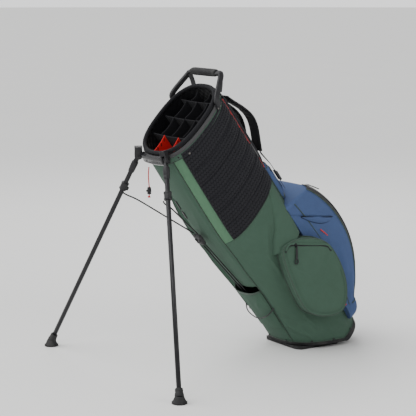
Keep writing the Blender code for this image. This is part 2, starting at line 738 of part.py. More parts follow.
def make_base(shop):
    """The moulded base tray with its heel, the foot plate hinged under it, and the hinge pin."""
    front, side, back = panel_angles()
    angles = [*back, *side, *front, *(math.tau - angle for angle in side[::-1])]
    steps = len(angles)
    centre = (section(-0.03)[0] + section(-0.03)[1]) / 2
    lows = []
    highs = []
    for angle in angles:
        top = height_at(hem, angle) - HEM_GAP
        point = skin(top, angle, 0.0015)
        lows.append(Vector((point.x, point.y, floor_line(point.x, FOOT_PLATE_THICK + 2 * CLEAR))))
        highs.append(Vector((point.x, point.y, top)))

    def fill(work):
        low = [work.verts.new(p) for p in lows]
        high = [work.verts.new(p) for p in highs]
        for i in range(steps):
            k = (i + 1) % steps
            work.faces.new((low[i], low[k], high[k], high[i]))
        work.faces.new(low)
        middle = work.verts.new((centre, 0, hem(centre) - HEM_GAP))
        for i in range(steps):
            work.faces.new((high[i], high[(i + 1) % steps], middle))

    tray = shop.add("base_tray", mesh_from("base_tray", fill), "rubber")
    behind = box_mesh("heel_cut", (0.3, 0.4, 0.2), (HEEL_START + 0.15, 0, HEEL_HEIGHT - 0.1))
    boolean(tray, shop.cutter("heel_cut", behind, shop.bag), "DIFFERENCE")
    hinge = Vector(to_bag((FOOT_PLATE_LENGTH, 0, HINGE_RISE)))
    lay_pin = Matrix.Rotation(math.pi / 2, 4, "X")
    room = PLATE_BARREL_RADIUS + 0.0012
    barrel_room = rod_mesh("barrel_room", room, room, 0.4, 20, lay_pin)
    boolean(tray, shop.cutter("barrel_room", barrel_room, shop.bag, Matrix.Translation(hinge)), "DIFFERENCE")
    rod_at = YOKE - ROD_DIRECTION * (YOKE.z / ROD_DIRECTION.z)
    slot = box_mesh("rod_slot", (0.034, 0.036, 0.2), (rod_at.x + 0.003, 0, -0.01))
    boolean(tray, shop.cutter("rod_slot", slot, shop.bag), "DIFFERENCE")

    # The foot plate lies on the floor, so it is placed in the world.
    half = FOOT_PLATE_LENGTH / 2
    plate_mesh = box_mesh("foot_plate", (FOOT_PLATE_LENGTH - 0.004, 2 * FOOT_PLATE_HALF_WIDTH, FOOT_PLATE_THICK),
                          (-0.002, 0, FOOT_PLATE_THICK / 2))
    plate = shop.add("foot_plate", plate_mesh, "rubber", parent=False)
    lay_world = Matrix.Rotation(math.pi / 2, 4, "X")
    barrel_at = Matrix.Translation((half, 0, HINGE_RISE))
    width = 2 * FOOT_PLATE_HALF_WIDTH - 0.02
    barrel = rod_mesh("barrel", PLATE_BARREL_RADIUS, PLATE_BARREL_RADIUS, width, 16, lay_world)
    boolean(plate, shop.cutter("plate_barrel", barrel, None, barrel_at), "UNION")
    bore = rod_mesh("bore", PLATE_PIN_RADIUS + PIN_FIT, PLATE_PIN_RADIUS + PIN_FIT, 0.5, 16, lay_world)
    boolean(plate, shop.cutter("plate_bore", bore, None, barrel_at), "DIFFERENCE")
    pin = rod_mesh("pin", PLATE_PIN_RADIUS, PLATE_PIN_RADIUS, 2 * FOOT_PLATE_HALF_WIDTH - 0.004, 12, lay_world)
    shop.add("base_hinge_pin", pin, "black_metal", parent=False, at=barrel_at)


def dome(across, along, edge=0.35):
    """A rounded share: 0 at the rim of a pad and 1 over its middle."""
    u = min(across, 1 - across) / edge
    v = min(along, 1 - along) / edge
    rise = lambda s: math.sqrt(max(0.0, 1 - (1 - min(s, 1.0)) ** 2))
    return rise(u) * rise(v)


def pad(shop, name, angles, low, high, rows, thick, paint, rim=0.003, edge=0.35):
    """A soft pad or pocket lying on the body, thin at its rim and full in its middle."""
    mesh = wall(name, angles, low, high, rows,
                lambda a, b: POCKET_GAP + rim + (thick - rim) * dome(a, b, edge), flat(POCKET_GAP))
    return shop.add(name, mesh, paint)


def make_back_pocket(shop):
    """The big blue ball pocket behind the lower body: its back follows the zip's own arc."""
    steps = 14
    edge_angle = math.radians(58)
    outer, inner = [], []
    for share in spread(-1, 1, steps):
        out_column, in_column = [], []
        across = math.copysign(abs(math.sin(share * math.pi / 2)) ** 0.6, share)
        depth = min(1.0, abs(math.cos(share * math.pi / 2)) ** 0.22 / 0.97)
        for z in spread(BALL_POCKET_LOW, BALL_POCKET_HIGH, 12):
            against = skin(z, share * edge_angle, POCKET_GAP)
            rise = ZIP_RADIUS**2 - (z - ZIP_CENTRE.z) ** 2
            back = max(ZIP_CENTRE.x + math.sqrt(max(rise, 0.0)), skin(z, 0).x + 0.008)
            start = skin(z, edge_angle).x + 0.004
            point = Vector((start + (back - start) * depth, BALL_POCKET_HALF * across, z))
            out_column.append(point)
            in_column.append(against)
        outer.append(out_column)
        inner.append(in_column)
    shop.add("ball_pocket", slab_mesh("ball_pocket", outer, inner), "blue_fabric")


def make_side_pocket(shop):
    """The D-shaped side pocket: a flat-faced pouch standing off the right side of the body."""
    outline = [(0.142, 0.350), (0.187, 0.330), (0.236, 0.285), (0.258, 0.235), (0.256, 0.160),
               (0.236, 0.092), (0.200, 0.044), (0.164, 0.034), (0.114, 0.062), (0.078, 0.105),
               (0.066, 0.150), (0.078, 0.250), (0.104, 0.340)]
    mesh = prism_mesh("side_pocket", outline, -SIDE_POCKET_OUTER, -SIDE_POCKET_INNER)
    bevel(shop.add("side_pocket", mesh, "green_fabric"), 0.007, 2)


def make_soft_parts(shop):
    """Pads, pockets and straps, each a plain closed form of the right size."""
    left_angles = [math.radians(a) for a in spread(66, 147, 9)]
    pad(shop, "apparel_pocket", left_angles, flat(0.120), flat(0.640), 8, 0.030, "green_fabric")
    pad(shop, "back_pad", [math.radians(a) for a in spread(-34, 34, 6)], lambda x: 0.565,
        lambda x: panel_top(x) - 0.004, 4, 0.009, "black_mesh", 0.002, 0.2)
    pad(shop, "cooler_pocket", [math.radians(a) for a in spread(-35, 35, 6)], flat(0.432), flat(0.556), 5,
        0.016, "blue_fabric", 0.003, 0.3)
    for side, sign in (("left", 1), ("right", -1)):
        outline_out, outline_in = [], []
        for z in spread(0.585, 0.805, 10):
            share = (z - 0.585) / 0.22
            stand = 0.0125 + 0.036 * max(math.sin(math.pi * share), 0.0) ** 1.5
            outline_out.append((skin(z, 0).x + stand + 0.009, z))
            outline_in.append((skin(z, 0).x + stand, z))
        mesh = prism_mesh("strap", outline_in + outline_out[::-1], sign * 0.036 - 0.024, sign * 0.036 + 0.024)
        shop.add("shoulder_strap_" + side, mesh, "lining")
    buckle_at = skin(0.500, math.radians(-24), 0.024)
    buckle = shop.add("strap_buckle", box_mesh("strap_buckle", (0.008, 0.022, 0.034)), "black_plastic",
                      at=Matrix.Translation(buckle_at))
    bevel(buckle, 0.002, 1)


def make_side_zip(shop):
    """The slider on the right side pocket's zip, and its long pull hanging straight down."""
    y = -SIDE_POCKET_OUTER - 0.0032
    slider_at = Vector((0.154, y, 0.330))
    slider = shop.add("side_zip_slider", box_mesh("side_zip_slider", (0.010, 0.005, 0.014)), "black_metal",
                      at=Matrix.Translation(slider_at))
    bevel(slider, 0.0012, 1)
    world_at = bag_matrix() @ slider_at
    pull_mesh = box_mesh("side_zip_pull", (0.006, 0.0025, 0.052), (0, -0.0045, -0.026))
    pull = shop.add("side_zip_pull", pull_mesh, "black_plastic", parent=False, at=Matrix.Translation(world_at))
    bevel(pull, 0.0008, 1)


def make_back_zip(shop):
    """The slider on the ball pocket's arched zip, and its pull."""
    radial = Vector((math.cos(ZIP_START), 0, math.sin(ZIP_START)))
    along = Matrix.Rotation(math.pi / 2 - ZIP_START, 4, "Y")
    at = ZIP_CENTRE + radial * (ZIP_RADIUS + 0.0005) + Vector((0, -0.095, 0))
    slider = shop.add("back_zip_slider", box_mesh("back_zip_slider", (0.014, 0.010, 0.005)), "black_metal",
                      at=Matrix.Translation(at) @ along)
    bevel(slider, 0.0012, 1)
    pull = shop.add("back_zip_pull", box_mesh("back_zip_pull", (0.050, 0.006, 0.0025), (0.0265, 0, 0.0046)),
                    "black_plastic", at=Matrix.Translation(at) @ along)
    bevel(pull, 0.0008, 1)


def make_cords(shop):
    """The red drawcord with its lock below the stand bracket, and the elastic loop over the rod sleeve."""
    top = bag_matrix() @ DRAWCORD_TOP
    route = [top + Vector(p) for p in ((0, 0, 0), (-0.0015, 0.0005, -0.02), (-0.001, 0, -0.045),
                                       (0.001, -0.0005, -0.07), (0.0, 0, -0.092))]
    cord = tube_curve("drawcord", smooth_route(route, 0.006), DRAWCORD_RADIUS, 2)
    shop.add("drawcord", cord, "red_fabric", parent=False)
    lock_profile = [(0.0032, -0.011), (0.0062, -0.009), (0.0066, 0.0), (0.0058, 0.009), (0.0032, 0.011)]
    shop.add("cord_lock", turned("cord_lock", lock_profile, 14), "black_plastic", parent=False,
             at=Matrix.Translation(top + Vector((0.0004, 0, -DRAWCORD_LOCK))))
    lift = ELASTIC_LIFT
    anchors = [skin(0.166, VENTRAL_SEAM - math.radians(4), 0.0045)]
    anchors.append(skin(0.148, math.radians(163), lift))
    anchors.append(skin(0.136, math.radians(180), lift + 0.003))
    anchors.append(skin(0.148, math.radians(197), lift))
    anchors.append(skin(0.166, 2 * math.pi - VENTRAL_SEAM + math.radians(4), 0.0045))
    loop = tube_curve("elastic_loop", smooth_route(anchors, 0.006), ELASTIC_RADIUS, 2)
    shop.add("elastic_loop", loop, "lining")


def main():
    clear_scene()
    shop = Workshop()
    make_panels(shop)
    make_cuff(shop)
    make_dividers(shop)
    make_handle(shop)
    for side, sign in (("left", 1), ("right", -1)):
        make_leg(shop, side, sign)
        make_hinge_socket(shop, side, sign)
    make_side_pocket(shop)
    make_stand_bracket(shop)
    make_linkage(shop)
    make_rod_cover(shop)
    make_base(shop)
    make_back_pocket(shop)
    make_soft_parts(shop)
    make_side_zip(shop)
    make_back_zip(shop)
    make_cords(shop)


main()
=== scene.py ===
"""Golf stand bag on spread legs: the sewn shell, pockets, cuff, handle, legs and linkage as finished pieces.

Run as a script it registers the operators below and calls them in order. Sizes are in metres. Most pieces are
drawn in the bag's own frame (X towards the back of the bag, Y to its left, Z along it to the mouth) and are
then leaned over the legs by one matrix.
"""

import math

import bmesh
import bpy
import numpy as np
from mathutils import Matrix, Vector
from mathutils.bvhtree import BVHTree


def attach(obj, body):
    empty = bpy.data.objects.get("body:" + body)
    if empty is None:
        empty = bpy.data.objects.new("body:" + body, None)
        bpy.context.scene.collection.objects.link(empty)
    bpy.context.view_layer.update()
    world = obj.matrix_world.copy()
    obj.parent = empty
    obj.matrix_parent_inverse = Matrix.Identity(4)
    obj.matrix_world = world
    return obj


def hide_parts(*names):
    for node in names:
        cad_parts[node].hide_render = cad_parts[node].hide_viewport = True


bl_info = {
    "name": "Golf stand bag",
    "version": (1, 0, 0),
    "blender": (4, 5, 0),
    "location": "View3D > Sidebar > Stand bag",
    "description": "Builds the finished pieces of a golf stand bag around its packed model",
    "category": "Add Mesh",
}

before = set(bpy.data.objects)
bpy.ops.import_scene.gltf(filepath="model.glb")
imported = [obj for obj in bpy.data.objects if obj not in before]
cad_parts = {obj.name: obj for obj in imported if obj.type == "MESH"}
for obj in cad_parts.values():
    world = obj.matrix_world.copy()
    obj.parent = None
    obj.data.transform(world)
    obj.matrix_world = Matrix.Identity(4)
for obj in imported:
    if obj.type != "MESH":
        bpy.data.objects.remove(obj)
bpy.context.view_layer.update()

LEAN = math.radians(35.77)
HALF_PLATE = 0.086
LEAN_TURN = Matrix.Rotation(-LEAN, 4, "Y")
BAG = Matrix.Translation((-HALF_PLATE, 0, 0)) @ LEAN_TURN
IN_WORLD = Matrix.Identity(4)
POWER = 2.5
STATIONS = np.array((
    (-0.12, 0.006, 0.248, 0.116),
    (0.03, 0.002, 0.256, 0.122),
    (0.20, 0.004, 0.262, 0.127),
    (0.36, -0.008, 0.262, 0.129),
    (0.50, -0.016, 0.262, 0.129),
    (0.86, -0.008, 0.262, 0.128),
))
RIM_HEIGHT, RIM_SLOPE = 0.8133, 0.21
ROLL_RADIUS = 0.0065
CUFF_HEIGHT = 0.0248
MESH_LOW, MESH_LOW_SLOPE = 0.452, 0.25
STRIP = 0.0150
HINGE = Vector((-0.016, 0.079, 0.800))
SPREAD_FOOT = Vector((-0.629, 0.389, 0.016))
FOLDED = Vector((-0.055, 0.0, -1.0)).normalized()
YOKE = Vector((-0.034, 0.0, 0.487))
ROD_DIRECTION = Vector((-0.129, 0.0, 0.9916)).normalized()
ZIP_CENTRE = Vector((0.071, 0.0, 0.250))
ZIP_RADIUS = 0.305
SIDE_INNER, SIDE_OUTER = 0.1325, 0.1660
FINISH = {}


# ---------------------------------------------------------------- the body's own surface


def section(height):
    """Front, back and half width of the body at heights along the bag, eased between its stations."""
    height = np.clip(np.asarray(height, float), STATIONS[0, 0], STATIONS[-1, 0])
    low = np.clip(np.searchsorted(STATIONS[:, 0], height) - 1, 0, len(STATIONS) - 2)
    share = (height - STATIONS[low, 0]) / (STATIONS[low + 1, 0] - STATIONS[low, 0])
    ease = share * share * (3 - 2 * share)
    rows = STATIONS[low] + (STATIONS[low + 1] - STATIONS[low]) * ease[..., None]
    return rows[..., 1], rows[..., 2], rows[..., 3]


def skin(height, angle, out=0.0):
    """Points on the body: angles count from the back towards the left side, out moves along the normal."""
    height, angle, out = np.broadcast_arrays(*(np.asarray(v, float) for v in (height, angle, out)))
    front, back, half = section(height)
    depth = (back - front) / 2
    cosine, sine = np.cos(angle), np.sin(angle)
    x = depth * np.sign(cosine) * np.abs(cosine) ** (2 / POWER)
    y = half * np.sign(sine) * np.abs(sine) ** (2 / POWER)
    nx = np.sign(x) * np.abs(x / depth) ** (POWER - 1) / depth
    ny = np.sign(y) * np.abs(y / half) ** (POWER - 1) / half
    size = np.hypot(nx, ny)
    return np.stack([(back + front) / 2 + x + out * nx / size, y + out * ny / size, height], axis=-1)


def skin_normal(height, angle):
    return skin(height, angle, 1.0) - skin(height, angle, 0.0)


def rim_top(x):
    return RIM_HEIGHT + RIM_SLOPE * x


def panel_top(x):
    return rim_top(x) - CUFF_HEIGHT


def mesh_low(x):
    return MESH_LOW + MESH_LOW_SLOPE * x


def floor_line(x, rise):
    return (rise - x * math.sin(LEAN)) / math.cos(LEAN)


def hem(x):
    return np.maximum(floor_line(x, 0.0225), -0.080)


def edge_height(edge, angle):
    """The height where an edge, given as a height for each depth, meets the body at each angle."""
    height = edge(skin(0.4, angle)[..., 0])
    return edge(skin(height, angle)[..., 0])


def ease(share):
    share = np.clip(share, 0.0, 1.0)
    return share * share * (3 - 2 * share)


def ripple(points, scale, seed, octaves=3):
    """Smooth uneven waves over points, from sums of sines with seeded directions: about -1 to 1."""
    rng = np.random.default_rng(seed)
    total = np.zeros(points.shape[:-1])
    for octave in range(octaves):
        for _ in range(3):
            direction = rng.normal(size=3)
            direction /= np.linalg.norm(direction)
            phase = rng.uniform(0, math.tau)
            total += np.sin(points @ direction * scale * 2**octave + phase) / 2**octave
    return total / 4.0


def folds(across, along, lines):
    """Soft ridges and valleys on a cloth, each (across0, along0, across1, along1, height, width)."""
    total = np.zeros(np.broadcast(across, along).shape)
    for a0, b0, a1, b1, height, width in lines:
        span = np.array((a1 - a0, b1 - b0))
        length = np.hypot(*span)
        reach = ((across - a0) * span[0] + (along - b0) * span[1]) / length**2
        aside = ((across - a0) * span[1] - (along - b0) * span[0]) / length
        taper = ease(reach * 5) * ease((1 - reach) * 3)
        total += height * taper * np.exp(-((aside / width) ** 2))
    return total


# ---------------------------------------------------------------- meshes


def mesh_of(name, points, faces, uv=None):
    mesh = bpy.data.meshes.new(name)
    mesh.from_pydata(np.asarray(points, float).reshape(-1, 3).tolist(), [], [list(f) for f in faces])
    if uv is not None:
        layer = mesh.uv_layers.new(name="UVMap")
        corner = np.zeros(len(mesh.loops), np.int32)
        mesh.loops.foreach_get("vertex_index", corner)
        layer.data.foreach_set("uv", np.asarray(uv, np.float32).reshape(-1, 2)[corner].ravel())
    mesh.update()
    return mesh


def turned_out(mesh):
    """The mesh with all its faces pointing outwards."""
    work = bmesh.new()
    work.from_mesh(mesh)
    bmesh.ops.recalc_face_normals(work, faces=work.faces)
    if work.calc_volume(signed=True) < 0:
        bmesh.ops.reverse_faces(work, faces=work.faces)
    work.to_mesh(mesh)
    work.free()
    return mesh


def quads(columns, rows, closed):
    """Faces of a grid whose points count down each column in turn."""
    last = columns if closed else columns - 1
    i, j = np.meshgrid(np.arange(last), np.arange(rows - 1), indexing="ij")
    k = (i + 1) % columns
    return np.stack([i * rows + j, k * rows + j, k * rows + j + 1, i * rows + j + 1], -1).reshape(-1, 4)


def flat_map(grid):
    """Distances over a grid of points: along its middle row, and up each column from its first point."""
    columns, rows = grid.shape[:2]
    step = np.linalg.norm(np.diff(grid[:, rows // 2], axis=0), axis=-1)
    arc = np.broadcast_to(np.concatenate([[0], np.cumsum(step)])[:, None], (columns, rows))
    rise = np.cumsum(np.linalg.norm(np.diff(grid, axis=1), axis=-1), axis=1)
    return arc, np.concatenate([np.zeros((columns, 1)), rise], axis=1)


def slab(name, outer, inner, closed=False, flat=None):
    """A closed wall between two grids of points, with a UV map in metres along the outer one or a flat one."""
    columns, rows = outer.shape[:2]
    count = columns * rows
    front = quads(columns, rows, closed)
    back = front[:, ::-1] + count
    sides = []
    last = columns if closed else columns - 1
    i = np.arange(last)
    k = (i + 1) % columns
    for row in (0, rows - 1):
        sides.append(
            np.stack([i * rows + row, k * rows + row, k * rows + row + count, i * rows + row + count], -1)
        )
    if not closed:
        j = np.arange(rows - 1)
        for column in (0, columns - 1):
            a = column * rows + j
            sides.append(np.stack([a, a + 1, a + 1 + count, a + count], -1))
    uv = np.stack(flat_map(outer if flat is None else flat), -1)
    return turned_out(mesh_of(
        name, np.concatenate([outer.reshape(-1, 3), inner.reshape(-1, 3)]),
        np.concatenate([front, back, *sides]), np.concatenate([uv.reshape(-1, 2)] * 2),
    ))


def frames_along(path, closed=False, up=None):
    """Tangent, side and up vectors at each point of a path, turning as little as they can."""
    path = np.asarray(path, float)
    if closed:
        tangent = np.roll(path, -1, 0) - np.roll(path, 1, 0)
    else:
        tangent = np.gradient(path, axis=0)
    tangent /= np.linalg.norm(tangent, axis=1)[:, None]
    if up is None:
        start = np.cross(tangent[0], (0.31, 0.95, 0.07))
        ups = [np.cross(start, tangent[0])]
        for t in tangent[1:]:
            ups.append(ups[-1] - t * (ups[-1] @ t))
        up = np.array(ups)
    up = up - tangent * np.sum(up * tangent, 1)[:, None]
    up /= np.linalg.norm(up, axis=1)[:, None]
    return tangent, np.cross(tangent, up), up


def smooth_path(points, spacing, closed=False):
    """Evenly spaced points on the smooth curve through the given ones."""
    knots = np.asarray(points, float)
    if closed:
        padded = np.concatenate([knots[-1:], knots, knots[:2]])
    else:
        padded = np.concatenate([[2 * knots[0] - knots[1]], knots, [2 * knots[-1] - knots[-2]]])
    t = np.linspace(0, 1, 24, endpoint=False)[:, None]
    fine = [
        0.5 * (2 * b + (c - a) * t + (2 * a - 5 * b + 4 * c - d) * t**2 + (3 * b - a - 3 * c + d) * t**3)
        for a, b, c, d in zip(padded, padded[1:], padded[2:], padded[3:])
    ]
    fine = np.concatenate([*fine, padded[-2:-1]])
    run = np.concatenate([[0], np.cumsum(np.linalg.norm(np.diff(fine, axis=0), axis=1))])
    count = max(int(round(run[-1] / spacing)), 2)
    at = np.linspace(0, run[-1], count + 1)[: count if closed else None]
    return np.stack([np.interp(at, run, fine[:, i]) for i in range(3)], -1)


def loft(name, rings, closed_path=False, caps=True):
    """A closed skin over rings of points, with a UV map in metres."""
    count, sides = rings.shape[:2]
    faces = [list(f) for f in quads(count, sides, closed_path)]
    last = count if closed_path else count - 1
    for i in range(last):
        k = (i + 1) % count
        faces.append([i * sides + sides - 1, k * sides + sides - 1, k * sides, i * sides])
    if caps and not closed_path:
        faces.append(list(range(sides)))
        faces.append(list(range((count - 1) * sides, count * sides)))
    around = np.concatenate([[0], np.cumsum(np.linalg.norm(np.diff(rings[0], axis=0), axis=-1))])
    along = np.concatenate([[0], np.cumsum(np.linalg.norm(np.diff(rings.mean(1), axis=0), axis=-1))])
    uv = np.stack(np.broadcast_arrays(around[None, :], along[:, None]), -1)
    return turned_out(mesh_of(name, rings, faces, uv))


def rounded(width, height, corner, steps=5):
    """A closed outline: a rectangle with round corners, as points (side, up)."""
    corner = min(corner, width / 2 * 0.999, height / 2 * 0.999)
    points = []
    for quarter, (sx, sy) in enumerate(((1, 1), (-1, 1), (-1, -1), (1, -1))):
        for step in range(steps + 1):
            turn = math.pi / 2 * (quarter + step / steps)
            points.append((
                sx * (width / 2 - corner) + corner * math.cos(turn),
                sy * (height / 2 - corner) + corner * math.sin(turn),
            ))
    return np.array(points)


def sweep(name, path, outline, closed=False, up=None, scale=None, caps=True):
    """An outline of (side, up) points carried along a path, its size set at each point by scale."""
    path = np.asarray(path, float)
    _, side, top = frames_along(path, closed, up)
    size = np.ones((len(path), 2)) if scale is None else np.asarray(scale, float).reshape(len(path), -1)
    size = np.broadcast_to(size, (len(path), 2))
    rings = path[:, None] + side[:, None] * (outline[None, :, :1] * size[:, None, :1])
    rings = rings + top[:, None] * (outline[None, :, 1:] * size[:, None, 1:])
    return loft(name, rings, closed, caps)


def circle(radius, sides=16):
    turn = np.arange(sides) * math.tau / sides
    return np.stack([radius * np.cos(turn), radius * np.sin(turn)], -1)


def tube(name, path, radius, sides=16, closed=False, scale=None):
    return sweep(name, path, circle(radius, sides), closed, scale=scale)


def lathe(name, profile, sides=32, at=None):
    """A solid turned about Z from (radius, height) points that start and end on the axis."""
    turn = np.arange(sides) * math.tau / sides
    rings = [(r * np.cos(turn), r * np.sin(turn), np.full(sides, z)) for r, z in profile[1:-1]]
    points = [(0, 0, profile[0][1]), (0, 0, profile[-1][1])]
    points += np.stack(rings).transpose(0, 2, 1).reshape(-1, 3).tolist()
    faces = []
    count = len(rings)
    for i in range(sides):
        k = (i + 1) % sides
        faces.append((0, 2 + k, 2 + i))
        faces.append((1, 2 + (count - 1) * sides + i, 2 + (count - 1) * sides + k))
        for j in range(count - 1):
            a, b = 2 + j * sides, 2 + (j + 1) * sides
            faces.append((a + i, a + k, b + k, b + i))
    mesh = turned_out(mesh_of(name, points, faces))
    if at is not None:
        mesh.transform(at)
    return mesh


def moulded(name, outline, low, high, bevel=0.001, segments=3, axis="Y"):
    """A flat outline given a thickness along one axis, with its edges rounded."""
    work = bmesh.new()
    if axis == "Y":
        corners = [work.verts.new((a, low, b)) for a, b in outline]
    elif axis == "Z":
        corners = [work.verts.new((a, b, low)) for a, b in outline]
    else:
        corners = [work.verts.new((low, a, b)) for a, b in outline]
    grown = bmesh.ops.extrude_face_region(work, geom=[work.faces.new(corners)])
    moved = [item for item in grown["geom"] if isinstance(item, bmesh.types.BMVert)]
    step = {"X": (high - low, 0, 0), "Y": (0, high - low, 0), "Z": (0, 0, high - low)}[axis]
    bmesh.ops.translate(work, verts=moved, vec=step)
    bmesh.ops.recalc_face_normals(work, faces=work.faces)
    sharp = [e for e in work.edges if len(e.link_faces) == 2 and e.calc_face_angle(0) > 0.5]
    if bevel:
        bmesh.ops.bevel(work, geom=sharp, offset=bevel, segments=segments, profile=0.5, affect="EDGES",
                        clamp_overlap=True)
    mesh = bpy.data.meshes.new(name)
    work.to_mesh(mesh)
    work.free()
    return turned_out(mesh)


def joined(name, meshes):
    """Several meshes as one."""
    work = bmesh.new()
    for mesh in meshes:
        work.from_mesh(mesh)
        bpy.data.meshes.remove(mesh)
    mesh = bpy.data.meshes.new(name)
    work.to_mesh(mesh)
    work.free()
    return mesh


def place(name, mesh, finish, body="bag_body", at=BAG, stands_for=(), smooth=40):
    """The finished piece as an object at the origin, riding on its body."""
    mesh.transform(at)
    mesh.materials.clear()
    mesh.materials.append(FINISH[finish])
    if smooth:
        mesh.shade_smooth()
        mesh.set_sharp_from_angle(angle=math.radians(smooth))
    piece = bpy.data.objects.new(name, mesh)
    bpy.context.scene.collection.objects.link(piece)
    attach(piece, body)
    if stands_for:
        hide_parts(*stands_for)
    return piece


def ribbon(name, path, up, width, thick, closed=False, corner=0.0006, widths=None):
    """A flat strap or tape along a path, lying square to the up vectors."""
    outline = rounded(width, thick, min(corner, thick * 0.45), 2)
    scale = None if widths is None else np.stack([widths, np.ones(len(widths))], -1)
    return sweep(name, path, outline, closed, np.asarray(up, float), scale)


# ---------------------------------------------------------------- things that repeat


REPEATS = {}


def repeat_tree(kind):
    """A Geometry Nodes tree that sets one small shape along a path at a pitch, facing its stored normal."""
    if kind in REPEATS:
        return REPEATS[kind]
    tree = bpy.data.node_groups.new("repeat_" + kind, "GeometryNodeTree")
    face = tree.interface
    face.new_socket("Geometry", in_out="INPUT", socket_type="NodeSocketGeometry")
    sockets = {}
    for label, kind_of, value in (("Pitch", "NodeSocketFloat", 0.004),
                                  ("Size", "NodeSocketVector", (1, 1, 1)),
                                  ("Finish", "NodeSocketMaterial", None)):
        made = face.new_socket(label, in_out="INPUT", socket_type=kind_of)
        if value is not None:
            made.default_value = value
        sockets[label] = made.identifier
    face.new_socket("Geometry", in_out="OUTPUT", socket_type="NodeSocketGeometry")
    node = tree.nodes.new
    link = tree.links.new
    source, out = node("NodeGroupInput"), node("NodeGroupOutput")
    curve, even = node("GeometryNodeMeshToCurve"), node("GeometryNodeResampleCurve")
    if hasattr(even, "mode"):
        even.mode = "LENGTH"
    up = node("GeometryNodeInputNamedAttribute")
    up.data_type = "FLOAT_VECTOR"
    up.inputs["Name"].default_value = "up"
    tangent = node("GeometryNodeInputTangent")
    along, stand = node("FunctionNodeAlignRotationToVector"), node("FunctionNodeAlignRotationToVector")
    along.axis, stand.axis, stand.pivot_axis = "X", "Z", "X"
    if kind == "block":
        shape = node("GeometryNodeMeshCube")
    else:
        shape = node("GeometryNodeMeshUVSphere")
        shape.inputs["Segments"].default_value = 8 if kind == "stitch" else 18
        shape.inputs["Rings"].default_value = 5 if kind == "stitch" else 9
        shape.inputs["Radius"].default_value = 0.5
    put, real, paint = node(
        "GeometryNodeInstanceOnPoints"
    ), node("GeometryNodeRealizeInstances"), node("GeometryNodeSetMaterial")
    smooth = node("GeometryNodeSetShadeSmooth")
    smooth.inputs["Shade Smooth"].default_value = kind != "block"
    link(source.outputs["Geometry"], curve.inputs["Mesh"])
    link(curve.outputs["Curve"], even.inputs["Curve"])
    link(source.outputs["Pitch"], even.inputs["Length"])
    link(even.outputs["Curve"], put.inputs["Points"])
    link(shape.outputs["Mesh"], put.inputs["Instance"])
    link(tangent.outputs["Tangent"], along.inputs["Vector"])
    link(along.outputs["Rotation"], stand.inputs["Rotation"])
    link(up.outputs["Attribute"], stand.inputs["Vector"])
    link(stand.outputs["Rotation"], put.inputs["Rotation"])
    link(source.outputs["Size"], put.inputs["Scale"])
    link(put.outputs["Instances"], real.inputs["Geometry"])
    link(real.outputs["Geometry"], smooth.inputs["Geometry"])
    link(smooth.outputs["Geometry"], paint.inputs["Geometry"])
    link(source.outputs["Finish"], paint.inputs["Material"])
    link(paint.outputs["Geometry"], out.inputs["Geometry"])
    REPEATS[kind] = (tree, sockets)
    return REPEATS[kind]


def repeat(name, kind, paths, pitch, size, finish, body="bag_body", at=BAG, slot=None):
    """One mesh of small shapes along paths, each a pair: points and the normals they face."""
    points, edges, ups = [], [], []
    for path, normals in paths:
        start = len(points)
        points += np.asarray(path, float).tolist()
        ups += np.asarray(normals, float).tolist()
        edges += [(start + i, start + i + 1) for i in range(len(path) - 1)]
    line = bpy.data.meshes.new(name + "_line")
    line.from_pydata(points, edges, [])
    stored = line.attributes.new("up", "FLOAT_VECTOR", "POINT")
    stored.data.foreach_set("vector", np.asarray(ups, np.float32).ravel())
    holder = bpy.data.objects.new(name + "_line", line)
    bpy.context.scene.collection.objects.link(holder)
    tree, sockets = repeat_tree(kind)
    modifier = holder.modifiers.new("Repeat", "NODES")
    modifier.node_group = tree
    modifier[sockets["Pitch"]] = pitch
    modifier[sockets["Size"]] = size
    modifier[sockets["Finish"]] = FINISH[finish]
    bpy.context.view_layer.update()
    made = bpy.data.meshes.new_from_object(holder.evaluated_get(bpy.context.evaluated_depsgraph_get()))
    bpy.data.objects.remove(holder, do_unlink=True)
    bpy.data.meshes.remove(line)
    return place(name, made, finish, body, at, smooth=0)


def stitch(name, runs, finish, sewing, **more):
    """Thread stitches at the bag's own pitch and length along runs of sewing."""
    return repeat(
        name, "stitch", runs, sewing.stitch_pitch, (sewing.stitch_length, 0.0007, 0.0006), finish, **more
    )


def dots(name, spots, size, finish, body="bag_body", at=BAG, slot=None):
    """Rivets or snaps at single spots, each a pair: point and normal."""
    paths = []
    for point, normal in spots:
        point, normal = np.asarray(point, float), np.asarray(normal, float)
        aside = np.cross(normal, (0.3, 0.2, 0.93))
        aside = aside / np.linalg.norm(aside) * 1e-5
        paths.append((np.stack([point, point + aside]), np.stack([normal, normal])))
    return repeat(name, "dome", paths, 1.0, size, finish, body, at, slot)


# ---------------------------------------------------------------- finishes


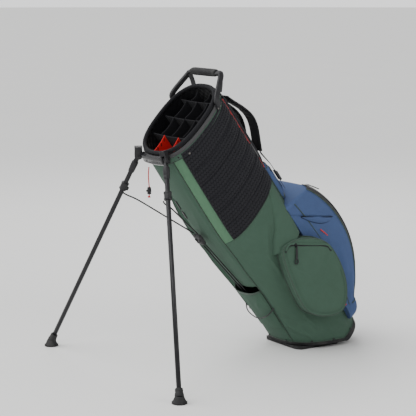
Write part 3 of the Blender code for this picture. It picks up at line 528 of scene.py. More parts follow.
class Nodes:
    """A thin hand for building node trees: every call returns the output socket that it makes."""

    def __init__(self, tree):
        self.tree = tree

    def feed(self, socket, value):
        if isinstance(value, bpy.types.NodeSocket):
            self.tree.links.new(value, socket)
        elif value is not None:
            socket.default_value = value

    def math(self, operation, *values, clamp=False):
        node = self.tree.nodes.new("ShaderNodeMath")
        node.operation, node.use_clamp = operation, clamp
        for socket, value in zip(node.inputs, values):
            self.feed(socket, value)
        return node.outputs[0]

    def vector(self, operation, *values):
        node = self.tree.nodes.new("ShaderNodeVectorMath")
        node.operation = operation
        for socket, value in zip(node.inputs, values):
            self.feed(socket, value)
        return node.outputs["Value" if operation in {"LENGTH", "DOT_PRODUCT", "DISTANCE"} else "Vector"]

    def parts(self, vector):
        node = self.tree.nodes.new("ShaderNodeSeparateXYZ")
        self.feed(node.inputs[0], vector)
        return node.outputs

    def join(self, x, y, z=0.0):
        node = self.tree.nodes.new("ShaderNodeCombineXYZ")
        for socket, value in zip(node.inputs, (x, y, z)):
            self.feed(socket, value)
        return node.outputs[0]

    def noise(self, vector, scale, detail=3.0, roughness=0.5):
        node = self.tree.nodes.new("ShaderNodeTexNoise")
        for label, value in (("Vector", vector), ("Scale", scale),
                          ("Detail", detail), ("Roughness", roughness)):
            self.feed(node.inputs[label], value)
        return node.outputs["Fac"]

    def cells(self, vector, scale, feature="F1"):
        node = self.tree.nodes.new("ShaderNodeTexVoronoi")
        node.feature = feature
        self.feed(node.inputs["Vector"], vector)
        self.feed(node.inputs["Scale"], scale)
        return node.outputs["Distance"]

    def span(self, value, low, high, to_low=0.0, to_high=1.0):
        node = self.tree.nodes.new("ShaderNodeMapRange")
        for socket, given in zip(node.inputs, (value, low, high, to_low, to_high)):
            self.feed(socket, given)
        return node.outputs["Result"]

    def blend(self, share, first, second, mode="MIX"):
        node = self.tree.nodes.new("ShaderNodeMix")
        node.data_type, node.blend_type = "RGBA", mode
        colours = [s for s in node.inputs if s.type == "RGBA"]
        self.feed(node.inputs["Factor"], share)
        self.feed(colours[0], first)
        self.feed(colours[1], second)
        return next(s for s in node.outputs if s.type == "RGBA")

    def bump(self, height, strength, distance, normal=None):
        node = self.tree.nodes.new("ShaderNodeBump")
        for label, value in (("Height", height), ("Strength", strength),
                          ("Distance", distance), ("Normal", normal)):
            self.feed(node.inputs[label], value)
        return node.outputs["Normal"]

    def group(self, tree, **values):
        node = self.tree.nodes.new("ShaderNodeGroup")
        node.node_tree = tree
        for label, value in values.items():
            self.feed(node.inputs[label.replace("_", " ")], value)
        return node.outputs


def new_group(name, takes, gives):
    """An empty shader group with named sockets: its node hand, its inputs and a call that wires an output."""
    tree = bpy.data.node_groups.new(name, "ShaderNodeTree")
    kinds = {"v": "NodeSocketVector", "f": "NodeSocketFloat", "c": "NodeSocketColor"}
    for label, kind, value in takes:
        made = tree.interface.new_socket(label, in_out="INPUT", socket_type=kinds[kind])
        if value is not None:
            made.default_value = value
    for label, kind in gives:
        tree.interface.new_socket(label, in_out="OUTPUT", socket_type=kinds[kind])
    source, out = tree.nodes.new("NodeGroupInput"), tree.nodes.new("NodeGroupOutput")

    def give(label, value):
        tree.links.new(value, out.inputs[label])

    return tree, Nodes(tree), source.outputs, give


def weave_group():
    """Woven cloth: warp and weft ribs, slubs, a slow drift of colour, and a finer mottle that roughens it like wear
    and is painted into the colour as fold shade.
    """
    tree, n, take, give = new_group(
        "woven_cloth",
        [("Vector", "v", None), ("Colour", "c", (0.5, 0.5, 0.5, 1)), ("Threads", "f", 900.0),
         ("Drift", "f", 0.12), ("Fold shade", "f", 0.1)],
        [("Colour", "c"), ("Roughness", "f"), ("Height", "f")],
    )
    x, y, z = n.parts(take["Vector"])
    turn = n.math("MULTIPLY", take["Threads"], math.tau)
    warp = n.math("SINE", n.math("MULTIPLY", n.math("ADD", x, n.math("MULTIPLY", z, 0.6)), turn))
    weft = n.math("SINE", n.math("MULTIPLY", n.math("ADD", y, n.math("MULTIPLY", z, 0.6)), turn))
    over = n.math("MULTIPLY", warp, weft)
    slub = n.noise(n.vector("MULTIPLY", take["Vector"], (260, 900, 500)), 1.0, 2.0)
    broad = n.noise(take["Vector"], 7.0, 3.0, 0.55)
    rub_and_fold_shade = n.noise(take["Vector"], 46.0, 4.0, 0.6)
    # painted fold shade: the finer mottle darkens and lightens the colour as if folds were shaded
    light = n.math("ADD", n.math("MULTIPLY", n.math("SUBTRACT", broad, 0.5), take["Drift"]),
                   n.math("MULTIPLY", n.math("SUBTRACT", rub_and_fold_shade, 0.5), take["Fold shade"]))
    light = n.math("ADD", light, n.math("MULTIPLY", n.math("SUBTRACT", slub, 0.5), 0.12))
    light = n.math("ADD", light, n.math("MULTIPLY", over, 0.03))
    shade = n.math("ADD", light, 1.0)
    give("Colour", n.vector("MULTIPLY", take["Colour"], n.join(shade, shade, shade)))
    give("Roughness", n.span(rub_and_fold_shade, 0.3, 0.7, 0.66, 0.86))
    give("Height", n.math("ADD", n.math("MULTIPLY", over, 0.35), slub))
    return tree


def grain_group():
    """Moulded plastic or rubber: a fine leathery grain, scuffs, and dust that greys it."""
    tree, n, take, give = new_group(
        "moulded_grain",
        [("Vector", "v", None), ("Colour", "c", (0.02, 0.02, 0.02, 1)), ("Grain", "f", 900.0),
         ("Dust", "f", 0.15), ("Base roughness", "f", 0.5)],
        [("Colour", "c"), ("Roughness", "f"), ("Height", "f")],
    )
    pits = n.cells(take["Vector"], take["Grain"])
    patch = n.noise(take["Vector"], 28.0, 5.0, 0.65)
    scuff = n.noise(n.vector("MULTIPLY", take["Vector"], (90, 90, 14)), 1.0, 4.0, 0.7)
    dusty = n.math("MULTIPLY", n.span(patch, 0.45, 0.8), take["Dust"])
    give("Colour", n.blend(dusty, take["Colour"], (0.16, 0.155, 0.145, 1)))
    rough = n.math("ADD", take["Base roughness"], n.math("MULTIPLY", n.math("SUBTRACT", scuff, 0.5), 0.22))
    give("Roughness", n.math("ADD", rough, n.math("MULTIPLY", dusty, 0.3), clamp=True))
    give("Height", n.math("ADD", pits, n.math("MULTIPLY", patch, 0.5)))
    return tree


def honeycomb_group():
    """Spacer mesh: rows of offset six-sided pads, with a fine knit on each."""
    tree, n, take, give = new_group(
        "honeycomb_knit",
        [("Vector", "v", None), ("Cell", "f", 0.0095), ("Knit", "f", 1100.0)],
        [("Gap", "f"), ("Height", "f")],
    )
    x, y, _ = n.parts(take["Vector"])
    wide = take["Cell"]
    tall = n.math("MULTIPLY", wide, 2.5)

    def lattice(shift):
        across = n.math("WRAP", n.math("ADD", x, n.math("MULTIPLY", wide, shift)),
                        n.math("MULTIPLY", wide, 0.5), n.math("MULTIPLY", wide, -0.5))
        along = n.math("WRAP", n.math("ADD", y, n.math("MULTIPLY", tall, shift)),
                       n.math("MULTIPLY", tall, 0.5), n.math("MULTIPLY", tall, -0.5))
        return n.vector("LENGTH", n.join(across, n.math("MULTIPLY", along, 0.74)))

    near = n.math("DIVIDE", n.math("MINIMUM", lattice(0.0), lattice(0.5)), wide)
    gap = n.span(near, 0.42, 0.60)
    knit = n.math(
        "MULTIPLY", n.math("SINE", n.math("MULTIPLY", x, n.math("MULTIPLY", take["Knit"], math.tau))),
        n.math("SINE", n.math("MULTIPLY", y, n.math("MULTIPLY", take["Knit"], math.tau)))
    )
    give("Gap", gap)
    give("Height", n.math("ADD", n.math("MULTIPLY", n.math("SUBTRACT", 1.0, gap), 0.8),
                          n.math("MULTIPLY", knit, 0.1)))
    return tree


def new_finish(name):
    made = bpy.data.materials.new(name)
    made.use_nodes = True
    shader = made.node_tree.nodes["Principled BSDF"]
    FINISH[name] = made
    return made, Nodes(made.node_tree), shader


def place_on(n, uv, turn=True):
    """The vector that a pattern follows: the piece's UV map in metres, or its place leaned back upright."""
    if uv:
        node = n.tree.nodes.new("ShaderNodeUVMap")
        node.uv_map = "UVMap"
        return node.outputs["UV"]
    source = n.tree.nodes.new("ShaderNodeTexCoord")
    if not turn:
        return source.outputs["Object"]
    mapping = n.tree.nodes.new("ShaderNodeMapping")
    mapping.inputs["Rotation"].default_value = (0, LEAN, 0)
    n.tree.links.new(source.outputs["Object"], mapping.inputs["Vector"])
    return mapping.outputs["Vector"]


def cloth(name, group, colour, uv=True, threads=900.0, drift=0.16, shade=0.25, sheen=0.04, bump=0.35):
    _, n, shader = new_finish(name)
    out = n.group(group, Vector=place_on(n, uv), Colour=(*colour, 1), Threads=threads, Drift=drift,
                  Fold_shade=shade)
    n.feed(shader.inputs["Base Color"], out["Colour"])
    n.feed(shader.inputs["Roughness"], out["Roughness"])
    n.feed(shader.inputs["Normal"], n.bump(out["Height"], bump, 0.0004))
    shader.inputs["Sheen Weight"].default_value = sheen
    shader.inputs["Sheen Roughness"].default_value = 0.45
    shader.inputs["Specular IOR Level"].default_value = 0.1


def plastic(name, group, colour, roughness, grain=900.0, dust=0.12, bump=0.15, coat=0.0, metallic=0.0):
    _, n, shader = new_finish(name)
    out = n.group(group, Vector=place_on(n, False), Colour=(*colour, 1), Grain=grain, Dust=dust,
                  Base_roughness=roughness)
    n.feed(shader.inputs["Base Color"], out["Colour"])
    n.feed(shader.inputs["Roughness"], out["Roughness"])
    n.feed(shader.inputs["Normal"], n.bump(out["Height"], bump, 0.0003))
    shader.inputs["Metallic"].default_value = metallic
    shader.inputs["Specular IOR Level"].default_value = 0.3
    shader.inputs["Coat Weight"].default_value = coat
    shader.inputs["Coat Roughness"].default_value = 0.2


def spacer_mesh_finish(group, knit, colour):
    _, n, shader = new_finish("spacer_mesh")
    spot = place_on(n, True)
    out = n.group(group, Vector=spot, Cell=0.0095, Knit=1100.0)
    base = n.group(knit, Vector=spot, Colour=(*colour, 1), Threads=700.0, Drift=0.25, Fold_shade=0.3)
    # painted shade: the gaps between the raised pads are coloured near-black for the shade in those recesses
    n.feed(shader.inputs["Base Color"], n.blend(out["Gap"], base["Colour"], (0.0035, 0.0035, 0.0045, 1)))
    n.feed(shader.inputs["Roughness"], n.span(out["Gap"], 0.0, 1.0, 0.62, 0.95))
    n.feed(shader.inputs["Normal"], n.bump(out["Height"], 0.5, 0.0008))
    shader.inputs["Sheen Weight"].default_value = 0.03
    shader.inputs["Specular IOR Level"].default_value = 0.2


def ribbed_webbing(name, group, colour, pitch):
    """Narrow woven tape, with ribs across its length and painted shade in the hollows between them."""
    _, n, shader = new_finish(name)
    spot = place_on(n, True)
    _, along, _ = n.parts(spot)
    rib = n.math("SINE", n.math("MULTIPLY", along, math.tau / pitch))
    out = n.group(group, Vector=spot, Colour=(*colour, 1), Threads=800.0, Drift=0.1, Fold_shade=0.1)
    # painted shade: the colour darkens to three quarters in each rib's hollow
    dark = n.span(rib, -1.0, 1.0, 0.75, 1.0)
    n.feed(shader.inputs["Base Color"], n.vector("MULTIPLY", out["Colour"], n.join(dark, dark, dark)))
    n.feed(shader.inputs["Roughness"], out["Roughness"])
    n.feed(shader.inputs["Normal"], n.bump(rib, 0.5, 0.0004))
    shader.inputs["Sheen Weight"].default_value = 0.15


def build_finishes(look):
    weave, grain, comb = weave_group(), grain_group(), honeycomb_group()
    cloth("green_cloth", weave, look.green)
    cloth("pale_green_cloth", weave, look.pale_green)
    cloth("green_soft", weave, look.green, uv=False)
    cloth("blue_cloth", weave, look.blue)
    cloth("blue_soft", weave, look.blue, uv=False)
    cloth(
        "lining_and_shadow_line_cloth", weave, look.lining, uv=False, threads=500.0, drift=0.4, shade=0.5, sheen=0.1, bump=0.6
    )
    cloth("red_cloth", weave, look.red, drift=0.1)
    cloth("red_soft", weave, look.red, uv=False, drift=0.1)
    cloth("black_cloth", weave, (0.012, 0.012, 0.014), uv=False, drift=0.3, shade=0.3, bump=0.5)
    spacer_mesh_finish(comb, weave, look.mesh)
    ribbed_webbing("black_tape", weave, (0.010, 0.010, 0.012), 0.0022)
    ribbed_webbing("red_piping", weave, look.red, 0.0016)
    ribbed_webbing("green_piping", weave, (0.030, 0.060, 0.040), 0.0016)
    ribbed_webbing("red_braid", weave, look.red, 0.0014)
    ribbed_webbing("black_braid", weave, (0.010, 0.010, 0.011), 0.0014)
    cloth("green_thread", weave, (0.030, 0.058, 0.040), uv=False, threads=2500.0)
    cloth("blue_thread", weave, (0.030, 0.045, 0.085), uv=False, threads=2500.0)
    cloth("black_thread", weave, (0.008, 0.008, 0.010), uv=False, threads=2500.0)
    plastic("moulded_black", grain, (0.014, 0.014, 0.016), 0.46)
    plastic("gloss_black", grain, (0.010, 0.010, 0.012), 0.26, grain=300.0, dust=0.05, bump=0.05, coat=0.35)
    plastic("cuff_grey", grain, (0.052, 0.052, 0.054), 0.62, grain=650.0, bump=0.35)
    plastic("rubber_black", grain, (0.016, 0.016, 0.017), 0.72, grain=700.0, dust=0.25, bump=0.3)
    plastic(
        "leg_enamel", grain, (0.014, 0.014, 0.016), 0.33, grain=1600.0, dust=0.06, bump=0.05, metallic=0.35,
        coat=0.15
    )
    plastic(
        "black_wire", grain, (0.010, 0.010, 0.011), 0.38, grain=1600.0, dust=0.05, bump=0.05, metallic=0.3
    )
    plastic("zip_metal", grain, (0.020, 0.020, 0.022), 0.34, grain=1800.0, dust=0.04, bump=0.05, metallic=0.7)
    plastic("rivet_grey", grain, (0.16, 0.15, 0.14), 0.36, grain=1800.0, dust=0.1, bump=0.05, metallic=0.85)


# ---------------------------------------------------------------- stage and cords

SIDES = (("left", 1), ("right", -1))
DEGREE = 0.0022
VENT_TOP, VENT_FOOT = 0.262, 0.105
SOFTBOXES = (
    ("key_light", (-3.4, -2.6, 3.3), (-0.2, 0.0, 0.45), 1.8, 60.0),
    ("side_light", (1.2, -3.8, 2.0), (-0.1, 0.0, 0.35), 1.6, 36.0),
    ("back_light", (1.4, 2.8, 3.0), (-0.2, 0.0, 0.5), 1.6, 40.0),
)


def build_stage(look):
    """A pale floor and surround, three soft lights and the camera."""
    scene = bpy.context.scene
    data = bpy.data.cameras.new("camera")
    data.sensor_width, data.lens = 36.0, 126.48
    camera = bpy.data.objects.new("camera", data)
    camera.location = (-2.796, -3.727, 1.163)
    camera.rotation_euler = (math.radians(90 - 8.854), 0, math.radians(-33.097))
    scene.collection.objects.link(camera)
    scene.camera = camera
    for name, at, aim, size, power in SOFTBOXES:
        lamp = bpy.data.lights.new(name, "AREA")
        lamp.shape, lamp.size, lamp.energy = "DISK", size, power
        light = bpy.data.objects.new(name, lamp)
        light.location = at
        light.rotation_euler = (Vector(aim) - Vector(at)).to_track_quat("-Z", "Y").to_euler()
        scene.collection.objects.link(light)
    sky = bpy.data.lights.new("sky_light", "SUN")
    sky.energy, sky.angle = 3.2, math.radians(70)
    over = bpy.data.objects.new("sky_light", sky)
    over.rotation_euler = (math.radians(-22), math.radians(-34), 0)
    scene.collection.objects.link(over)
    world = bpy.data.worlds.new("surround")
    world.use_nodes = True
    tree = world.node_tree
    back = tree.nodes["Background"]
    back.inputs["Color"].default_value = (0.95, 0.955, 0.96, 1)
    path, level = tree.nodes.new("ShaderNodeLightPath"), tree.nodes.new("ShaderNodeMapRange")
    level.inputs["To Min"].default_value, level.inputs["To Max"].default_value = 0.55, 1.45
    tree.links.new(path.outputs["Is Camera Ray"], level.inputs["Value"])
    tree.links.new(level.outputs["Result"], back.inputs["Strength"])
    scene.world = world
    _, n, shader = new_finish("floor_paint")
    haze = n.noise(place_on(n, False, False), 1.3, 3.0)
    n.feed(shader.inputs["Base Color"], n.blend(haze, (*look.floor, 1), (*[c * 0.97 for c in look.floor], 1)))
    shader.inputs["Roughness"].default_value = 0.8
    work = bmesh.new()
    bmesh.ops.create_circle(work, cap_ends=True, segments=96, radius=60.0)
    mesh = bpy.data.meshes.new("floor")
    work.to_mesh(mesh)
    work.free()
    mesh.materials.append(FINISH["floor_paint"])
    floor = bpy.data.objects.new("floor", mesh)
    scene.collection.objects.link(floor)


def build_cords():
    """The red drawcord with its lock and knot, and the elastic loop over the rod sleeve."""
    top = np.array(BAG @ Vector((-0.0251, 0.040, 0.765)))
    route = top + np.array(((0, 0, 0), (-0.0015, 0.0005, -0.02), (-0.001, 0, -0.045),
                            (0.001, -0.0005, -0.07), (0.0, 0, -0.092)))
    path = smooth_path(route, 0.0025)
    cord = place("red_drawcord", tube("red_drawcord", path, 0.00175, 14), "red_braid", at=IN_WORLD,
                 stands_for=("drawcord",))
    lock_at = Matrix.Translation(top + np.array((0.0004, 0, -0.072)))
    profile = (
        (0, -0.0112), (0.0030, -0.0112), (0.0052, -0.0104), (0.0062, -0.0090), (0.0064, -0.0060),
        (0.0058, -0.0052), (0.0058, -0.0044), (0.0066, -0.0036), (0.0066, 0.0034), (0.0058, 0.0042),
        (0.0058, 0.0050), (0.0062, 0.0058), (0.0056, 0.0092), (0.0044, 0.0108), (0.0030, 0.0112), (0, 0.0112)
    )
    body = lathe("drawcord_lock", profile, 28)
    button = lathe("button", ((0, -0.0022), (0.0027, -0.0022), (0.0030, -0.0016), (0.0030, 0.0016),
                              (0.0024, 0.0022), (0, 0.0022)), 18,
                   Matrix.Translation((-0.0074, 0, 0.0)) @ Matrix.Rotation(math.pi / 2, 4, "Y"))
    lock = place("drawcord_lock", joined("drawcord_lock", [body, button]), "moulded_black", at=lock_at,
                 stands_for=("cord_lock",))
    turns = np.linspace(0, math.tau, 40, endpoint=False)
    wound = np.stack([(0.0021 + 0.0009 * np.cos(3 * turns)) * np.cos(2 * turns),
                      (0.0021 + 0.0009 * np.cos(3 * turns)) * np.sin(2 * turns),
                      0.0016 * np.sin(3 * turns)], -1)
    knot = place(
        "drawcord_knot", tube("drawcord_knot", path[-1] + (0, 0, 0.001) + wound, 0.0015, 10, closed=True),
        "red_braid", at=IN_WORLD
    )
    anchors = [
        skin(z, math.radians(turn), out) for z, turn,
        out in (
            (0.166, 148, 0.0045), (0.148, 163, 0.018), (0.136, 180, 0.021), (0.148, 197, 0.018),
            (0.166, 212, 0.0045)
        )
    ]
    loop = smooth_path(anchors, 0.004)
    over = np.array([BAG @ Vector(p) for p in loop])
    elastic = place(
        "elastic_shock_loop", tube("elastic_shock_loop", over, 0.0019, 14), "black_braid", at=IN_WORLD,
        stands_for=("elastic_loop",)
    )


# ---------------------------------------------------------------- the sewn shell


def wall_grid(angles, low, high, rows):
    """Angles and heights over part of the body, as (columns, rows) grids between two edges."""
    angles = np.asarray(angles, float)
    bottom, top = edge_height(low, angles), edge_height(high, angles)
    height = bottom[:, None] + (top - bottom)[:, None] * np.linspace(0, 1, rows)
    return np.broadcast_to(angles[:, None], height.shape), height


def level(value):
    return lambda x: value + 0 * x


def fade(shape, columns, rows):
    """0 along the edges of a grid, rising to 1 inside it."""
    i = np.minimum(np.arange(shape[0]), np.arange(shape[0])[::-1]) / columns
    j = np.minimum(np.arange(shape[1]), np.arange(shape[1])[::-1]) / rows
    return ease(i)[:, None] * ease(j)[None, :]


def slack(angle, height, seed, depth, lines=()):
    """How far a cloth stands off the body: a slow sag, small puckers, and the folds given in degrees and metres."""
    spot = skin(height, angle)
    across = np.abs(np.degrees(angle)) * DEGREE
    drawn = [(a0 * DEGREE, b0, a1 * DEGREE, b1, rise, width) for a0, b0, a1, b1, rise, width in lines]
    loose = depth * (0.6 + 0.6 * ripple(spot, 19.0, seed)) + folds(across, height, drawn)
    near_edge = 1 - fade(angle.shape, 9, 9)
    pucker = 0.0004 * near_edge * np.sin(height * 420 + across * 300 + 2.0 * ripple(spot, 30.0, seed + 5))
    return loose * fade(angle.shape, 7, 7) + pucker


def seam_line(name, turn, low, high, out, finish, radius, body="bag_body"):
    """A corded seam up the body at one angle."""
    heights = np.arange(low, high, 0.004)
    path = skin(heights, np.full(len(heights), turn), out)
    return place(name, tube(name, path, radius, 12), finish, body)


def stitch_run(turn, low, high, out, count=60):
    heights = np.linspace(low, high, count)
    turns = np.full(count, turn)
    return skin(heights, turns, out), skin_normal(heights, turns)


def build_shell(sewing):
    """Green cloth panels: two at the front, one below the mesh on each side, and the back."""
    front = np.radians(np.linspace(152.6, 207.4, 56))
    angle, height = wall_grid(front, level(VENT_TOP), panel_top, 120)
    out = slack(angle, height, 3, sewing.sag * 0.8, (
        (160, 0.70, 158, 0.36, 0.0014, 0.006), (200, 0.72, 203, 0.30, 0.0013, 0.007),
        (172, 0.44, 186, 0.28, 0.0016, 0.006), (190, 0.60, 178, 0.47, 0.0012, 0.006)))
    place(
        "front_cloth", slab("front_cloth", skin(height, angle, out), skin(height, angle, -0.002)),
        "green_cloth", stands_for=("front_panel",)
    )
    angle, height = wall_grid(front, hem, level(VENT_FOOT), 30)
    out = slack(angle, height, 4, sewing.sag * 0.5)
    place("front_foot_cloth", slab("front_foot_cloth", skin(height, angle, out), skin(height, angle, -0.002)),
          "green_cloth", stands_for=("front_base_panel",))
    creases = {
        "right": ((150, 0.10, 118, 0.005, 0.0026, 0.006), (143, 0.15, 122, 0.07, 0.0018, 0.007),
                  (88, 0.435, 107, 0.345, 0.0036, 0.0065), (107, 0.36, 107.5, 0.25, 0.0030, 0.006),
                  (108, 0.26, 112, 0.12, 0.0026, 0.006), (112, 0.10, 100, 0.0, 0.0028, 0.006),
                  (128, 0.06, 118, -0.01, 0.0020, 0.005), (96, 0.02, 84, -0.05, 0.0022, 0.006),
                  (136, 0.43, 120, 0.33, 0.0014, 0.007), (146, 0.30, 131, 0.20, 0.0012, 0.008),
                  (78, 0.0, 66, -0.06, 0.0020, 0.006)),
        "left": ((150, 0.09, 122, 0.01, 0.0024, 0.006), (118, 0.05, 98, -0.03, 0.0026, 0.006),
                 (90, 0.0, 76, -0.06, 0.0022, 0.006), (62, 0.35, 54, 0.18, 0.0020, 0.006)),
    }
    for side, sign in SIDES:
        turns = sign * np.radians(np.linspace(36.6, 151.4, 130))
        angle, height = wall_grid(turns, hem, mesh_low, 150)
        out = slack(angle, height, 11 + sign, sewing.sag, creases[side])
        name = "side_cloth_" + side
        place(name, slab(name, skin(height, angle, out), skin(height, angle, -0.002)), "green_cloth",
              stands_for=("side_panel_" + side,))
        turns = sign * np.radians(np.linspace(134.8, 151.4, 18))
        angle, height = wall_grid(turns, lambda x: mesh_low(x) + 0.0008, panel_top, 110)
        bow = 0.0016 * np.sin(np.pi * np.linspace(0, 1, 18))[:, None] * fade(angle.shape, 1, 8)
        out = bow + slack(angle, height, 21 + sign, 0.0003)
        name = "side_strip_" + side
        place(name, slab(name, skin(height, angle, out), skin(height, angle, -0.002)), "pale_green_cloth")
    turns = np.radians(np.linspace(-35.4, 35.4, 60))
    angle, height = wall_grid(turns, hem, panel_top, 150)
    out = slack(angle, height, 31, 0.0004)
    place(
        "back_cloth", slab("back_cloth", skin(height, angle, out), skin(height, angle, -0.002)),
        "green_cloth", stands_for=("back_panel",)
    )


def wrapped(value, span):
    return value - span * np.floor(value / span + 0.5)


def pad_share(arc, rise, cell):
    """How much of a spacer-mesh pad stands at a place: 1 on a pad and 0 in the gaps, in offset rows."""
    nearest = np.full(arc.shape, 1e9)
    for shift in (0.0, 0.5):
        across = wrapped(arc + cell * shift, cell)
        along = wrapped(rise + cell * 2.5 * shift, cell * 2.5)
        nearest = np.minimum(nearest, np.hypot(across, along * 0.74))
    return 1 - ease((nearest / cell - 0.42) / 0.18)


def build_side_mesh(sewing):
    """The quilted spacer mesh on both sides of the upper body: raised pads in offset rows, sewn across in bands."""
    seams, threads = [], []
    for side, sign in SIDES:
        turns = sign * np.radians(np.linspace(36.6, 134.2, 172))
        angle, height = wall_grid(turns, lambda x: mesh_low(x) + 0.0008, panel_top, 240)
        base = skin(height, angle)
        arc, rise = flat_map(base)
        band = np.abs(wrapped(rise, sewing.band))
        channel = np.exp(-((band / 0.0024) ** 2))
        swell = 0.0016 * np.sin(np.pi * np.clip((rise % sewing.band) / sewing.band, 0, 1)) ** 0.6
        pads = sewing.pad_rise * pad_share(arc, rise, sewing.pad_size)
        loose = 0.0012 * (0.5 + 0.5 * ripple(base, 15.0, 41 + sign))
        out = (swell + pads * (1 - channel) + loose) * fade(angle.shape, 4, 4) + 0.0003
        name = "side_mesh_" + side
        place(
            name, slab(name, skin(height, angle, out), skin(height, angle, -0.002), flat=base), "spacer_mesh",
            stands_for=("quilted_panel_" + side,)
        )
        low = edge_height(mesh_low, turns)
        top = edge_height(panel_top, turns)
        for number in range(1, int(0.36 / sewing.band) + 1):
            line = low + number * sewing.band
            keep = line < top - 0.012
            if keep.sum() > 10:
                threads.append((skin(line[keep], turns[keep], 0.0009), skin_normal(line[keep], turns[keep])))
        for edge, offset in ((mesh_low, 0.0026), (panel_top, -0.0118)):
            line = edge_height(edge, turns) + offset
            seams.append((skin(line, turns, 0.0014), skin_normal(line, turns)))
        low_edge = edge_height(mesh_low, turns)
        name = "mesh_hem_" + side
        place(name, tube(name, skin(low_edge, turns, 0.0008), 0.0012, 10), "green_piping")
        edge_turn = sign * math.radians(134.5)
        seam_line("mesh_edge_" + side, edge_turn, float(edge_height(mesh_low, edge_turn)) - 0.004,
                  float(edge_height(panel_top, edge_turn)) - 0.009, 0.0009, "green_piping", 0.0011)
    stitch("mesh_cross_stitches", threads, "black_thread", sewing)
    stitch("mesh_edge_stitches", seams, "black_thread", sewing)


def build_seams(sewing, metal):
    """Seam cords, stitching, the red piping with its tab, the strip below the cuff and every rivet on the shell."""
    runs, green_runs, rivets, pale = [], [], [], []
    for side, sign in SIDES:
        turn = sign * math.radians(152)
        low = float(edge_height(hem, turn)) + 0.004
        high = float(edge_height(panel_top, turn)) - 0.010
        seam_line("front_seam_" + side, turn, low, high, 0.0006, "green_piping", 0.0013)
        for aside in (-1.1, 1.1):
            green_runs.append(stitch_run(turn + math.radians(aside), low + 0.004, high - 0.004, 0.0007, 120))
        back_turn = sign * math.radians(36)
        rim = float(edge_height(panel_top, back_turn)) - 0.0095
        seam_line("red_piping_upper_" + side, back_turn, 0.650, rim, 0.0022, "red_piping",
                  sewing.piping_radius * 1.15)
        seam_line("red_piping_lower_" + side, back_turn, 0.560, 0.604, 0.0022, "red_piping",
                  sewing.piping_radius * 1.15)
        seam_line("back_seam_" + side, back_turn, 0.434, 0.560, 0.0016, "green_piping", 0.0014)
        heights = np.linspace(0.602, 0.652, 14)
        turns = np.full(14, back_turn)
        tab = ribbon(
            "piping_tab_" + side, skin(heights, turns, 0.0040), skin_normal(heights, turns), 0.019, 0.0034,
            corner=0.0012
        )
        place("piping_tab_" + side, tab, "black_tape")
        for aside in (-2.6, 2.6):
            runs.append(stitch_run(back_turn + math.radians(aside), 0.606, 0.648, 0.0058, 16))
        hem_turns = sign * np.radians(np.linspace(37, 151, 90))
        line = edge_height(hem, hem_turns)
        green_runs.append((skin(line + 0.008, hem_turns, 0.0018), skin_normal(line, hem_turns)))
        place(
            "hem_fold_" + side, tube("hem_fold_" + side, skin(line + 0.0012, hem_turns, 0.0010), 0.0014, 10),
            "green_piping"
        )
        for degrees in (66, 93.5, 122.5):
            turn = sign * math.radians(degrees)
            at = float(edge_height(hem, turn)) + 0.0045
            rivets.append((skin(at, turn, 0.0030), skin_normal(at, turn)))
        for degrees in (95.5, 139, 50):
            turn = sign * math.radians(degrees)
            at = float(edge_height(panel_top, turn)) - 0.0075
            rivets.append((skin(at, turn, 0.0026), skin_normal(at, turn)))
        turn = sign * math.radians(121.5)
        pale.append((skin(0.7815, turn, 0.0042), skin_normal(0.7815, turn)))
    front_turns = np.radians(np.linspace(153, 207, 40))
    line = edge_height(hem, front_turns)
    green_runs.append((skin(line + 0.008, front_turns, 0.0014), skin_normal(line, front_turns)))
    place("hem_fold_front", tube("hem_fold_front", skin(line + 0.0012, front_turns, 0.0010), 0.0014, 10),
          "green_piping")
    for degrees in (162.5, 197.5):
        turn = math.radians(degrees)
        at = float(edge_height(hem, turn)) + 0.0045
        rivets.append((skin(at, turn, 0.0026), skin_normal(at, turn)))
    for edge in (VENT_TOP + 0.004, VENT_FOOT - 0.004):
        green_runs.append((skin(np.full(40, edge), front_turns, 0.0012),
                           skin_normal(np.full(40, edge), front_turns)))
    turns = np.linspace(0, math.tau, 220, endpoint=False)
    top = edge_height(panel_top, turns)
    height = top[:, None] - STRIP + STRIP * np.linspace(0, 1, 7)
    angle = np.broadcast_to(turns[:, None], height.shape)
    out = 0.0012 + 0.0009 * np.sin(np.pi * np.linspace(0, 1, 7)) + 0.0002 * np.sin(turns * 60)[:, None]
    place(
        "cuff_strip", slab("cuff_strip", skin(height, angle, out), skin(height, angle, 0.0002), closed=True),
        "green_cloth"
    )
    place(
        "cuff_strip_cord",
        tube("cuff_strip_cord", skin(top - STRIP - 0.0006, turns, 0.0012), 0.0009, 8, closed=True),
        "black_braid"
    )
    size = (sewing.stitch_length, 0.00075, 0.0006)
    repeat("black_stitches", "stitch", runs, sewing.stitch_pitch, size, "black_thread")
    repeat("green_stitches", "stitch", green_runs, sewing.stitch_pitch, size, "green_thread")
    dome = (metal.rivet, metal.rivet, metal.rivet * 0.42)
    dots("shell_rivets", rivets, dome, "gloss_black", slot="black_metal")
    dots("pale_rivets", pale, dome, "rivet_grey")
    slot_heights = np.linspace(0.584, 0.616, 16)
    slot_turn = np.full(16, math.radians(164))
    welt = ribbon(
        "front_slot_welt", skin(slot_heights, slot_turn, 0.0026), skin_normal(slot_heights, slot_turn), 0.013,
        0.0022, corner=0.0009
    )
    place("front_slot_welt", welt, "black_tape")
    patch_heights = np.linspace(0.549, 0.575, 12)
    patch_turn = np.full(12, math.radians(166))
    patch = ribbon(
        "front_patch", skin(patch_heights, patch_turn, 0.0024), skin_normal(patch_heights, patch_turn), 0.017,
        0.0018, corner=0.0006
    )
    place("front_patch", patch, "black_tape")


# ---------------------------------------------------------------- mouth: cuff, dividers and handle


